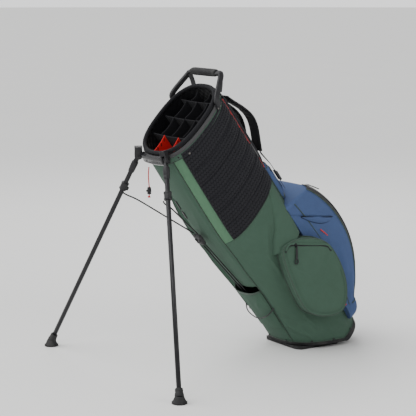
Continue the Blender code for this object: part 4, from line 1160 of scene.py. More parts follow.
def build_cuff(metal):
    """The puckered rim roll, its quilted lining, the textured ring and the glossy bracket over the front lip."""
    turns = np.linspace(0, math.tau, 240, endpoint=False)
    flat_ring = skin(RIM_HEIGHT + RIM_SLOPE * 0.12, turns, -ROLL_RADIUS - 0.001)
    path = flat_ring.copy()
    path[:, 2] = rim_top(path[:, 0]) - ROLL_RADIUS
    arc = np.cumsum(np.linalg.norm(path - np.roll(path, 1, 0), axis=1))
    pinch = 1 - 0.055 * np.exp(-((np.abs(wrapped(arc, 0.021)) / 0.0016) ** 2)) + 0.02 * ripple(path, 60.0, 7)
    roll = tube("rim_roll", path, ROLL_RADIUS, 20, closed=True, scale=pinch)
    place("rim_roll", roll, "black_cloth", stands_for=("rim_padding",))
    share = np.linspace(0, 1, 26)
    top = edge_height(lambda x: rim_top(x) - 0.0135, turns)
    height = top[:, None] - 0.062 * share[::-1]
    angle = np.broadcast_to(turns[:, None], height.shape)
    depth = (top[:, None] - height)
    quilt = np.abs(
        np.sin(np.pi * (arc[:, None] + depth) / 0.024) * np.sin(np.pi * (arc[:, None] - depth) / 0.024)
    )
    inward = -0.0085 - 0.0026 * quilt**0.5
    lining = slab("mouth_lining", skin(height, angle, -0.0055), skin(height, angle, inward), closed=True)
    place("mouth_lining", lining, "lining_and_shadow_line_cloth")

    band_top = lambda x: rim_top(x) - 2 * ROLL_RADIUS - 0.0004
    rows = np.linspace(0, 1, 9)
    low = edge_height(lambda x: band_top(x) - 0.011, turns)
    high = edge_height(band_top, turns)
    height = low[:, None] + (high - low)[:, None] * rows
    angle = np.broadcast_to(turns[:, None], height.shape)
    crown = 0.0020 - 0.0009 * np.abs(2 * rows - 1) ** 6
    ring = slab("cuff_band", skin(height, angle, crown), skin(height, angle, -0.004), closed=True)
    place("cuff_band", ring, "cuff_grey", stands_for=("cuff_ring",))
    middle = (low + high) / 2
    ribs = [
        (skin(middle + shift, turns, 0.0020), skin_normal(middle, turns)) for shift in (-0.0031, 0.0, 0.0031)
    ]
    ribs = [(np.concatenate([a, a[:1]]), np.concatenate([b, b[:1]])) for a, b in ribs]
    repeat("cuff_pips", "dome", ribs, 0.0052, (0.0021, 0.0016, 0.0010), "cuff_grey")

    y = np.linspace(-0.0635, 0.0635, 61)
    v = np.linspace(0, 1, 17)
    height = 0.776 + 0.029 * v
    bow = 0.004 * (1 - (y / 0.0635) ** 2)
    front, back, half = section(np.full(61, 0.805))
    middle_x, reach = (back + front) / 2, (back - front) / 2
    against = middle_x - reach * (1 - (np.abs(y) / half) ** POWER) ** (1 / POWER) - 0.0028
    lip = 0.0032 * np.abs(2 * v - 1) ** 5
    wing = 0.0025 * np.abs(y / 0.0635)[:, None] ** 10
    rib = 0.0011 * np.exp(-(((v - 0.24) / 0.05) ** 2)) + 0.0011 * np.exp(-(((v - 0.76) / 0.05) ** 2))
    face = -0.0205 - bow[:, None] + lip[None, :] + wing - rib[None, :] * 0.8
    outer = np.stack([face, np.broadcast_to(y[:, None], face.shape), np.broadcast_to(height, face.shape)], -1)
    inner = outer.copy()
    inner[..., 0] = against[:, None]
    place(
        "front_lip_bracket", slab("front_lip_bracket", outer, inner), "gloss_black",
        stands_for=("stand_bracket",)
    )
    heads = [((-0.0235, side * 0.030, 0.7905), (-1, 0, 0)) for side in (-1, 0, 1)]
    dots("bracket_rivets", heads, (metal.rivet * 0.9, metal.rivet * 0.9, 0.0020), "zip_metal")


def half_width_at(x, height, inset):
    front, back, half = section(height)
    reach = (back - front) / 2 - inset
    share = min(abs(x - (back + front) / 2) / reach, 1.0)
    return (half - inset) * (1 - share**POWER) ** (1 / POWER)


def soft_divider(name, start, end, finish, node):
    """A padded divider wall from one (x, y) to another: foot, rounded top that droops between its ends."""
    start, end = np.array(start), np.array(end)
    length = np.hypot(*(end - start))
    across = np.array((-(end - start)[1], (end - start)[0])) / length
    columns = max(int(length / 0.006), 6)
    s = np.linspace(0, 1, columns)
    line = start + (end - start) * s[:, None]
    top = rim_top(line[:, 0]) - 2 * ROLL_RADIUS - 0.007 - 0.0045 * np.sin(np.pi * s) ** 0.8
    foot = 0.300
    sides = []
    for height_share in (0.0, 0.35, 0.7, 0.9, 0.955, 0.985):
        sides.append((height_share, 1.0))
    profile = [(h, -w) for h, w in sides]
    roll = np.linspace(-math.pi / 2, math.pi / 2, 9)
    rings = []
    half = 0.0015
    for i in range(columns):
        height = foot + (top[i] - foot) * np.array([h for h, _ in profile])
        wave = 0.0003 * np.sin(i * 1.9 + height * 35)
        near = [(-half + w, z) for w, z in zip(wave, height)]
        cap = [(np.sin(r) * half * 1.12, top[i] - half * 1.1 + np.cos(r) * half * 1.1) for r in roll]
        far = [(half + w, z) for w, z in zip(wave, height)][::-1]
        ring = near + cap + far
        rings.append([(*(line[i] + across * a), z) for a, z in ring])
    mesh = loft(name, np.array(rings))
    return place(name, mesh, finish, stands_for=(node,))


def build_dividers():
    """Fourteen club slots: padded cross walls and short walls, the two at the front red with dark dashes."""
    crosses = (0.076, 0.143, 0.209)
    splits = ((-0.040, 0.040), (-0.060, 0.0, 0.060), (-0.060, 0.0, 0.060), (-0.036, 0.036))
    half = 0.0015
    for number, x in enumerate(crosses, 1):
        reach = min(half_width_at(x + s * half, z, 0.0165) for s in (-1, 1) for z in (0.300, 0.82))
        soft_divider(f"padded_cross_wall_{number}", (x, -reach), (x, reach), "black_cloth",
                     f"cross_divider_{number}")
    fronts, backs = [0.0, *crosses], [*crosses, 0.25]
    dashes = []
    for row, places in enumerate(splits, 1):
        first, last = fronts[row - 1] + half + 0.0004, backs[row - 1] - half - 0.0004
        for number, y in enumerate(places, 1):
            front, back = first, last
            while half_width_at(front, 0.5, 0.0165) < abs(y) + half:
                front += 0.001
            while half_width_at(back, 0.5, 0.0165) < abs(y) + half:
                back -= 0.001
            red = row == 1
            soft_divider(
                f"padded_wall_{row}_{number}", (front, y), (back, y), "red_soft" if red else "black_cloth",
                f"divider_row{row}_{number}"
            )
            if red:
                for x in np.linspace(front + 0.010, back - 0.010, 4):
                    crest = rim_top(x) - 2 * ROLL_RADIUS - 0.007 - 0.0045 * math.sin(
                        math.pi * (x - front) / (back - front)) ** 0.8
                    for turn in (-1, 1):
                        low = (x - 0.002, y + turn * 0.00185, crest - 0.0095)
                        high = (x + 0.002, y + turn * 0.00185, crest - 0.0025)
                        dashes.append((np.array((low, high)), np.array(((0, turn, 0), (0, turn, 0)))))
    repeat("divider_dashes", "block", dashes, 0.0020, (0.0019, 0.0026, 0.0004), "black_thread")


def build_handle(metal):
    """The ribbed cross grip behind the mouth, and a broad arm and a brace down to the cuff at each end."""
    y = np.linspace(-0.0662, 0.0662, 133)
    ends = np.clip((0.0662 - np.abs(y)) / 0.0045, 0, 1)
    ribs = 1 + 0.045 * np.cos(y * math.tau / 0.0062) * (np.abs(y) < 0.055)
    size = (0.96 + 0.10 * ends) * ribs
    outline = rounded(0.0205, 0.0200, 0.0078, 8)
    path = np.stack([np.full_like(y, 0.281), y, np.full_like(y, 0.893)], -1)
    grip = sweep("carry_grip", path, outline, up=np.tile((0.25, 0, 1.0), (len(y), 1)),
                 scale=np.stack([size, size], -1))
    place("carry_grip", grip, "rubber_black", stands_for=("handle_grip",))
    heads = []
    for side, sign in SIDES:
        angle_front, angle_rear = sign * math.radians(62), sign * math.radians(27)
        foot = skin(rim_top(0.19) - 0.018, angle_front, 0.0086)
        rear = skin(rim_top(0.25) - 0.024, angle_rear, 0.0086)
        start = np.array((0.281, sign * 0.0666, 0.893))
        corner = np.array((0.277, sign * 0.0885, 0.886))
        path = smooth_path(
            [start, start + (0, sign * 0.007, -0.0004), corner, foot + (0.006, 0, 0.022), foot], 0.0035
        )
        outward = np.tile((0.1, sign * 1.0, 0.25), (len(path), 1))
        outward[:6] = (0.0, sign * 0.25, 1.0)
        wide = np.interp(np.linspace(0, 1, len(path)), (0, 0.12, 0.3, 0.85, 1), (1.1, 1.1, 1.0, 1.0, 1.25))
        arm = sweep(
            "arm", path, rounded(0.0165, 0.0105, 0.0030, 4), up=outward,
            scale=np.stack([wide, np.ones_like(wide)], -1)
        )
        brace_path = smooth_path(
            [corner + (0.001, -sign * 0.002, -0.001), corner * 0.5 + rear * 0.5 + (0.003, 0, 0), rear], 0.004
        )
        brace = sweep("brace", brace_path, rounded(0.0135, 0.0095, 0.0026, 4),
                      up=np.tile((0.75, sign * 0.65, 0.2), (len(brace_path), 1)))
        pads = []
        for point, turn, tall in ((foot, angle_front, 0.020), (rear, angle_rear, 0.017)):
            normal = skin_normal(point[2], turn)
            spot = Vector(point - normal * 0.0042)
            facing = Vector(normal).to_track_quat("Y", "Z").to_matrix().to_4x4()
            plate = moulded("plate", rounded(0.021, tall, 0.0040, 5), -0.0020, 0.0022, 0.0008, 2)
            plate.transform(Matrix.Translation(spot) @ facing)
            pads.append(plate)
            for shift in (-0.0066, 0.0066):
                if tall > 0.019:
                    heads.append((np.array(facing @ Vector((shift, 0.0024, -0.0055)) + spot), normal))
        mesh = joined("carry_bracket_" + side, [arm, brace, *pads])
        place("carry_bracket_" + side, mesh, "moulded_black", stands_for=("handle_bracket_" + side,))
    dots("carry_bracket_rivets", heads, (metal.rivet * 0.8, metal.rivet * 0.8, 0.0022), "rivet_grey")


# ---------------------------------------------------------------- legs and linkage


def to_bag(point):
    """A point in the bag's frame from one measured from the foot plate's front edge."""
    return Matrix.Rotation(LEAN, 3, "Y") @ Vector(point)


def leg_frame(sign):
    """The leg hinge in the bag's frame: its -Z runs down the spread leg and its Y is the pin."""
    foot = to_bag(SPREAD_FOOT)
    down = (foot - HINGE).normalized()
    pin = down.cross(FOLDED).normalized()
    turn = Matrix((pin.cross(-down), pin, -down)).transposed()
    if sign < 0:
        mirror = Matrix.Diagonal((1, -1, 1))
        turn = mirror @ turn @ mirror
    return Matrix.Translation((HINGE.x, sign * HINGE.y, HINGE.z)) @ turn.to_4x4()


def build_legs(metal):
    """Two enamelled tube legs, each with a hinge head, a tapered top fitting, a strut collar and a bell foot."""
    lay = Matrix.Rotation(math.pi / 2, 4, "X")
    length = (to_bag(SPREAD_FOOT) - HINGE).length
    radius = metal.leg_radius
    for side, sign in SIDES:
        at = BAG @ leg_frame(sign)
        body = f"leg_{side}_assembly"
        tube_profile = (
            (0, -length + 0.0062), (radius - 0.0006, -length + 0.0062), (radius, -length + 0.0070),
            (radius, -0.30), (radius, -0.020), (0, -0.020)
        )
        place("leg_tube_" + side, lathe("leg_tube", tube_profile, 40), "leg_enamel", body, at,
              stands_for=("leg_" + side,), smooth=50)
        head = lathe(
            "head",
            (
                (0, -0.0040), (0.0032, -0.0040), (0.0032, -0.0036), (0.0085, -0.0036), (0.0095, -0.0028),
                (0.0095, 0.0028), (0.0085, 0.0036), (0.0032, 0.0036), (0.0032, 0.0040), (0, 0.0040)
            ),
            36, lay
        )
        shank = sweep("shank", np.array([(0, 0, z) for z in (-0.004, -0.012, -0.018, -0.024)]),
                      rounded(0.0150, 0.0076, 0.0018, 4), up=np.tile((0, 1, 0), (4, 1)),
                      scale=np.array(((1.0, 1.0), (0.92, 1.0), (0.95, 1.25), (0.95, 1.6))))
        cap = lathe(
            "cap",
            (
                (0, -0.0225), (0.0076, -0.0225), (0.0098, -0.0240), (0.0103, -0.0300), (0.0100, -0.0480),
                (0.0095, -0.0490), (0.0095, -0.0500), (0.0098, -0.0510), (0.0090, -0.0590), (0.0084, -0.0602),
                (0, -0.0602)
            ),
            36
        )
        place(
            "leg_top_fitting_" + side, joined("leg_top_fitting", [head, shank, cap]), "moulded_black", body,
            at
        )
        collar_at = at @ Matrix.Translation((0, 0, -0.1126))
        rim = 0.013
        collar = lathe("collar", ((0, -rim), (0.0098, -rim), (0.0116, -rim + 0.0008), (0.0122, -rim + 0.0024),
                                  (0.0122, -rim + 0.0052), (0.0112, -rim + 0.0062), (0.0112, rim - 0.0062),
                                  (0.0122, rim - 0.0052), (0.0122, rim - 0.0022), (0.0114, rim - 0.0006),
                                  (0.0098, rim), (0, rim)), 40)
        toe = 0.0034
        lug = sweep("lug", np.array([(-0.0090, 0, -0.004), (-0.0125, 0, -0.0046), (-0.0160, 0, -0.005)]),
                    rounded(0.0110, 0.0125, toe, 4), up=np.tile((0, 0, 1), (3, 1)),
                    scale=np.array(((1.0, 1.0), (0.95, 0.95), (0.8, 0.8))))
        place("strut_collar_" + side, joined("strut_collar", [collar, lug]), "moulded_black", body, collar_at,
              stands_for=("leg_collar_" + side,))
        neck = lathe(
            "neck",
            (
                (0, -length + 0.003), (0.0132, -length + 0.003), (0.0134, -length + 0.008),
                (0.0120, -length + 0.015), (0.0112, -length + 0.0160), (0.0112, -length + 0.0178),
                (0.0118, -length + 0.0190), (0.0112, -length + 0.0262), (0.0100, -length + 0.0275),
                (0, -length + 0.0275)
            ),
            40
        )
        place("foot_neck_" + side, neck, "rubber_black", body, at)
        floor_spot = BAG @ to_bag((SPREAD_FOOT.x, sign * SPREAD_FOOT.y, 0))
        bell = lathe("bell", ((0, 0), (0.0196, 0), (0.0210, 0.0008), (0.0215, 0.0024), (0.0215, 0.0046),
                              (0.0206, 0.0058), (0.0198, 0.0062), (0.0196, 0.0070), (0.0186, 0.0084),
                              (0.0150, 0.0164), (0.0134, 0.0205), (0.0110, 0.0222), (0, 0.0222)), 48)
        place("bell_foot_" + side, bell, "rubber_black", body, Matrix.Translation(floor_spot),
              stands_for=("foot_" + side,))
        notches = []
        for turn in np.linspace(0, math.tau, 24, endpoint=False):
            way = np.array((math.cos(turn), math.sin(turn), 0))
            notches.append((np.stack([way * 0.0216 + (0, 0, 0.0012), way * 0.0216 + (0, 0, 0.0046)]),
                            np.stack([way, way])))
        repeat(
            "bell_foot_ribs_" + side, "block", notches, 0.0034, (0.0034, 0.0014, 0.0008), "rubber_black",
            body, Matrix.Translation(floor_spot)
        )


def build_sockets():
    """A clevis at each side of the front lip, with a flared lower edge, and the pin that the leg turns on."""
    length_turn = (to_bag(SPREAD_FOOT) - HINGE).angle(FOLDED)
    lay = Matrix.Rotation(math.pi / 2, 4, "X")
    for side, sign in SIDES:
        at = BAG @ leg_frame(sign)
        web_turn = Matrix.Rotation(length_turn / 2, 4, "Y")
        outline = [(0.0128 * math.cos(a), 0.0128 * math.sin(a)) for a in np.linspace(math.pi, math.tau, 15)]
        outline = [(-0.0118, 0.0275), (-0.0118, 0.012), *outline, (0.0118, 0.012), (0.0118, 0.0275)]
        pieces = []
        for low in (-0.0090, 0.0045):
            pieces.append(moulded("ear", outline, low, low + 0.0045, 0.0010, 3))
        pieces.append(
            moulded(
                "web", [(-0.0112, 0.0120), (0.0112, 0.0120), (0.0105, 0.0280), (-0.0105, 0.0280)], -0.0086,
                0.0086, 0.0014, 3
            )
        )
        for y in (-0.0096, 0.0086):
            ring = lathe("boss", ((0, 0), (0.0052, 0), (0.0062, 0.0006), (0.0066, 0.0010), (0, 0.0010)), 28,
                         Matrix.Translation((0, y if y < 0 else y + 0.0010, 0)) @ lay @ Matrix.Rotation(
                             math.pi if y < 0 else 0, 4, "X"))
            pieces.append(ring)
        mesh = joined("leg_clevis_" + side, pieces)
        place(
            "leg_clevis_" + side, mesh, "moulded_black", at=at @ web_turn,
            stands_for=("hinge_socket_" + side,)
        )
        pin = lathe(
            "pin",
            (
                (0, -0.0104), (0.0026, -0.0104), (0.0040, -0.0101), (0.0042, -0.0096), (0.0025, -0.0094),
                (0.0025, 0.0094), (0.0042, 0.0096), (0.0040, 0.0101), (0.0026, 0.0104), (0, 0.0104)
            ),
            28, lay
        )
        place("leg_hinge_pin_" + side, pin, "zip_metal", at=at, stands_for=("hinge_pin_" + side,))


def build_linkage(sewing, metal):
    """The yoke clip with its two rivets, the U-shaped rod below it and the bent strut up to each leg."""
    size = (0.010, 0.040, 0.036)
    outline = [(y + YOKE.y, z + YOKE.z) for y, z in rounded(size[1], size[2], 0.0052, 5)]
    plate = moulded("plate", outline, YOKE.x - 0.0050, YOKE.x + 0.0050, 0.0016, 3, axis="X")
    ridges = []
    for z in (-0.0115, 0.0115):
        ridge = [(y, z + YOKE.z + dz) for y, dz in rounded(0.034, 0.0045, 0.0018, 4)]
        ridges.append(moulded("ridge", ridge, YOKE.x - 0.0062, YOKE.x - 0.0040, 0.0006, 2, axis="X"))
    for side in (-1, 1):
        boss = lathe("boss", ((0, 0), (0.0052, 0), (0.0058, 0.0010), (0.0054, 0.0026), (0, 0.0026)), 28,
                     Matrix.Translation((YOKE.x - 0.0048, side * 0.0105, YOKE.z)) @ Matrix.Rotation(
                         -math.pi / 2, 4, "Y"))
        ridges.append(boss)
    place("yoke_clip", joined("yoke_clip", [plate, *ridges]), "moulded_black", "yoke_and_rod",
          stands_for=("yoke",))
    heads = [((YOKE.x - 0.0076, side * 0.0105, YOKE.z), (-1, 0, 0)) for side in (-1, 1)]
    dots("yoke_rivets", heads, (0.0062, 0.0062, 0.0026), "zip_metal", "yoke_and_rod")
    down = Vector(ROD_DIRECTION)
    top = YOKE + down * ((-0.018 - 0.0004 + 0.0) / down.z)
    foot_x = YOKE.x - down.x / down.z * YOKE.z
    rod_foot = floor_line(foot_x, 0.010) + metal.rod_radius + 0.0060
    foot = YOKE + down * ((rod_foot - YOKE.z) / down.z)
    across, inward, turn = Vector((0, 0.0105, 0)), Vector((0, 0.005, 0)), down * 0.005
    path = [top + across, foot + turn * 3 + across, foot + turn + across]
    for share in np.linspace(0.15, 0.85, 5):
        angle = share * math.pi / 2
        path.append(
            foot + across - inward + Vector((0, 0.005, 0)) * math.cos(angle) + turn * (1 - math.sin(angle))
        )
    path.append(foot + across - inward)
    path += [Vector((p.x, -p.y, p.z)) for p in path[::-1]]
    place(
        "lift_rod", tube("lift_rod", np.array([tuple(p) for p in path]), metal.rod_radius, 16), "black_wire",
        "yoke_and_rod", stands_for=("push_rod",)
    )
    for side, sign in SIDES:
        pivot = Vector((-0.034, sign * 0.012, 0.510))
        collar = leg_frame(sign) @ Vector((0, 0, -0.1126))
        end = collar + Vector((-0.0195, -sign * 0.004, -0.005))
        bend = pivot.lerp(end, 0.80) + Vector((0.004, -sign * 0.006, -0.004))
        knee = pivot.lerp(end, 0.93) + Vector((-0.001, -sign * 0.004, -0.001))
        path = smooth_path([tuple(p) for p in (pivot, pivot.lerp(bend, 0.5), bend, knee, end)], 0.004)
        ends = np.minimum(np.arange(len(path)), np.arange(len(path))[::-1])
        flat = np.interp(ends, (0, 1, 3), (0.85, 1.0, 1.0))
        mesh = tube("leg_strut_" + side, path, metal.strut_radius, 16, scale=flat)
        place("leg_strut_" + side, mesh, "black_wire", f"strut_{side}_arm", stands_for=("strut_" + side,))
    turns = np.linspace(math.radians(154), math.radians(206), 61)
    heights = np.linspace(0.085, 0.240, 56)
    angle, height = np.broadcast_to(turns[:, None], (61, 56)), np.broadcast_to(heights, (61, 56))
    across = np.linspace(0, 1, 61)[:, None]
    along = np.linspace(0, 1, 56)[None, :]
    lift = 0.0008 + 0.0125 * (1 - np.abs(2 * across - 1) ** 3) * (0.35 + 0.65 * along)
    waves = 0.0013 * ripple(skin(height, angle), 45.0, 51) + folds(across * 0.10, along * 0.155, (
        (0.012, 0.150, 0.040, 0.075, 0.0024, 0.0045), (0.088, 0.150, 0.060, 0.080, 0.0022, 0.0045),
        (0.050, 0.140, 0.048, 0.020, 0.0018, 0.0050), (0.020, 0.060, 0.050, 0.012, 0.0016, 0.0050)))
    lift = lift + waves * np.sin(np.pi * across) * (0.25 + 0.75 * along)
    sleeve = slab("rod_cover_cloth", skin(height, angle, lift + 0.0014), skin(height, angle, lift))
    cover = place("rod_cover_cloth", sleeve, "green_cloth", stands_for=("rod_sleeve",))
    mouth = skin(np.full(61, 0.2392), turns, lift[:, -1] + 0.0008)
    hem_tape = ribbon(
        "rod_cover_binding", mouth, skin_normal(np.full(61, 0.24), turns), 0.0075, 0.0030, corner=0.0008
    )
    binding = place("rod_cover_binding", hem_tape, "green_piping")
    runs = []
    for column in (2, 58):
        runs.append(
            (
                skin(heights, turns[column], lift[column] + 0.0018),
                skin_normal(heights, turns[column] + 0 * heights)
            )
        )
    stitch("rod_cover_stitches", runs, "green_thread", sewing)


# ---------------------------------------------------------------- base


def carved(mesh, cutters):
    """The mesh with the cutters taken out of it."""
    scene = bpy.context.scene.collection
    holder = bpy.data.objects.new("carved", mesh)
    scene.objects.link(holder)
    helpers = []
    for cutter in cutters:
        helper = bpy.data.objects.new("carving", cutter)
        scene.objects.link(helper)
        helpers.append(helper)
        cut = holder.modifiers.new("Cut", "BOOLEAN")
        cut.operation, cut.solver, cut.object = "DIFFERENCE", "EXACT", helper
    bpy.context.view_layer.update()
    made = bpy.data.meshes.new_from_object(holder.evaluated_get(bpy.context.evaluated_depsgraph_get()))
    for obj in (holder, *helpers):
        bpy.data.objects.remove(obj, do_unlink=True)
    return made


def box_mesh(low, high):
    work = bmesh.new()
    at = Matrix.Translation((Vector(low) + Vector(high)) / 2) @ Matrix.Diagonal(
        (*(Vector(high) - Vector(low)), 1)
    )
    bmesh.ops.create_cube(work, size=1.0, matrix=at)
    mesh = bpy.data.meshes.new("box")
    work.to_mesh(mesh)
    work.free()
    return mesh


def build_base():
    """The moulded tray with its heel, the treaded foot plate hinged under it, and the pin between them."""
    turns = np.linspace(0, math.tau, 144, endpoint=False)
    high = edge_height(hem, turns) - 0.0010
    flat_spot = skin(high, turns, 0.0015)
    low = np.maximum(floor_line(flat_spot[:, 0], 0.0108), -0.1005)
    centre = np.array((0.130, 0.0))
    rings = []
    for rise, inset in ((0.0, 0.080), (0.0, 0.030), (0.0, 0.0050), (0.0010, 0.0018),
                        (0.0032, 0.0004), (0.0055, 0.0)):
        ring = flat_spot.copy()
        way = centre - ring[:, :2]
        way /= np.linalg.norm(way, axis=1)[:, None]
        ring[:, :2] += way * inset
        ring[:, 2] = np.maximum(floor_line(ring[:, 0], 0.0108), -0.1005) + rise
        rings.append(ring)
    for share, out in ((0.45, 0.0), (0.62, 0.0004), (0.66, 0.0012),
                       (0.92, 0.0012), (0.97, 0.0006), (1.0, -0.0008)):
        ring = skin(high, turns, 0.0015 + out)
        ring[:, 2] = (low + 0.0055) + (high - low - 0.0055) * share
        rings.append(ring)
    for inset in (0.030, 0.080):
        ring = flat_spot.copy()
        way = centre - ring[:, :2]
        way /= np.linalg.norm(way, axis=1)[:, None]
        ring[:, :2] += way * inset
        ring[:, 2] = hem(ring[:, 0]) - 0.0010
        rings.append(ring)
    tray = loft("base_moulding", np.array(rings))
    hinge = to_bag((0.172, 0, 0.0062))
    room = lathe("room", ((0, -0.2), (0.0068, -0.2), (0.0068, 0.2), (0, 0.2)), 28,
                 Matrix.Translation(hinge) @ Matrix.Rotation(math.pi / 2, 4, "X"))
    rod_at = YOKE - ROD_DIRECTION * (YOKE.z / ROD_DIRECTION.z)
    slot = box_mesh((rod_at.x + 0.003 - 0.017, -0.018, -0.11), (rod_at.x + 0.003 + 0.017, 0.018, 0.09))
    mesh = turned_out(carved(tray, [room, slot]))
    place("base_moulding", mesh, "rubber_black", stands_for=("base_tray",))
    half, wide = HALF_PLATE, 0.094
    square = [(x - 0.002, y) for x, y in rounded(2 * half - 0.004, 2 * wide, 0.022, 8)]
    plate = moulded("plate", square, 0.0, 0.0098, 0.0018, 3, axis="Z")
    lay = Matrix.Translation((half, 0, 0.0062)) @ Matrix.Rotation(math.pi / 2, 4, "X")
    knuckles = []
    for y in (-0.062, 0.0, 0.062):
        knuckles.append(
            lathe(
                "knuckle",
                (
                    (0, y - 0.022), (0.0050, y - 0.022), (0.0056, y - 0.0212), (0.0056, y + 0.0212),
                    (0.0050, y + 0.022), (0, y + 0.022)
                ),
                28, lay
            )
        )
    link = box_mesh((half - 0.012, -0.084, 0.0012), (half - 0.001, 0.084, 0.0090))
    place(
        "foot_plate_moulding", joined("foot_plate_moulding", [plate, link, *knuckles]), "rubber_black",
        "base_plate", IN_WORLD, stands_for=("foot_plate",)
    )
    treads = []
    for x in np.linspace(-0.074, 0.070, 25):
        for side in (-1, 1):
            face = side * wide
            treads.append(
                (np.array(((x, face, 0.0026), (x, face, 0.0072))), np.array(((0, side, 0), (0, side, 0))))
            )
    for y in np.linspace(-0.066, 0.066, 23):
        treads.append((np.array(((-half + 0.0002, y, 0.0026), (-half + 0.0002, y, 0.0072))),
                       np.array(((-1, 0, 0), (-1, 0, 0)))))
    repeat("foot_plate_ribs", "block", treads, 0.0046, (0.0050, 0.0024, 0.0008), "rubber_black", "base_plate",
           IN_WORLD)
    pin = lathe("plate_pin", ((0, -0.0925), (0.0022, -0.0925), (0.0026, -0.0920), (0.0026, 0.0920),
                              (0.0022, 0.0925), (0, 0.0925)), 24, lay)
    place("base_hinge_rod", pin, "zip_metal", at=IN_WORLD, stands_for=("base_hinge_pin",))


# ---------------------------------------------------------------- pockets

BALL_LOW, BALL_HIGH = -0.045, 0.425
EDGE_TURN = math.radians(58)


def ball_point(share, height, out=0.0):
    """A point on the ball pocket: share runs from -1 on the right to 1 on the left, over the arched back."""
    share, height, out = np.broadcast_arrays(*(np.asarray(v, float) for v in (share, height, out)))
    across = np.sign(share) * np.abs(np.sin(share * np.pi / 2)) ** 0.6
    depth = np.minimum(1.0, np.abs(np.cos(share * np.pi / 2)) ** 0.22 / 0.97)
    rise = ZIP_RADIUS**2 - (height - ZIP_CENTRE.z) ** 2
    start = skin(height, EDGE_TURN)[..., 0] + 0.004
    back = np.maximum(ZIP_CENTRE.x + np.sqrt(np.maximum(rise, 0)), skin(height, 0.0)[..., 0] + 0.008)
    point = np.stack([start + (back - start) * depth, 0.128 * across, height], -1)
    outward = point - np.stack([start - 0.05, 0 * start, 0.6 * height + 0.4 * ZIP_CENTRE.z], -1)
    outward /= np.linalg.norm(outward, axis=-1)[..., None]
    return point + outward * out[..., None]


def ball_normal(share, height):
    return ball_point(share, height, 1.0) - ball_point(share, height, 0.0)


def panel_share(x, height):
    """The share of the ball pocket's right-hand panel that lies at a place front to back."""
    start = skin(height, EDGE_TURN)[..., 0] + 0.004
    back = ZIP_CENTRE.x + np.sqrt(ZIP_RADIUS**2 - (height - ZIP_CENTRE.z) ** 2)
    turned = (0.97 * np.clip((x - start) / (back - start), 0.0, 1.0)) ** (1 / 0.22)
    return -np.arccos(turned) * 2 / np.pi


def panel_line(ends, count, bow=0.0, out=0.0):
    """Points and normals of a line across the right-hand panel, between two places given front to back and up."""
    u = np.linspace(0, 1, count)
    x, z = (ends[0][k] + (ends[1][k] - ends[0][k]) * u for k in (0, 1))
    z = z - bow * np.sin(np.pi * u) ** 0.8
    share = panel_share(x, z)
    return ball_point(share, z, out), ball_normal(share, z)


def share_at(y):
    """The share at a distance from the middle of the pocket's back."""
    return np.sign(y) * np.arcsin(np.clip(np.abs(y) / 0.128, 0, 1) ** (1 / 0.6)) * 2 / np.pi


def ball_shares(count):
    """Shares that lie at even distances over the pocket."""
    fine = np.linspace(-1, 1, 4001)
    run = np.linalg.norm(np.diff(ball_point(fine, np.full(4001, 0.22)), axis=0), axis=1)
    run = np.concatenate([[0], np.cumsum(run)])
    return np.interp(np.linspace(0, run[-1], count), run, fine)


SLIP_LINE = ((0.196, 0.405), (0.332, 0.2845))
ZIP_Y = -0.095


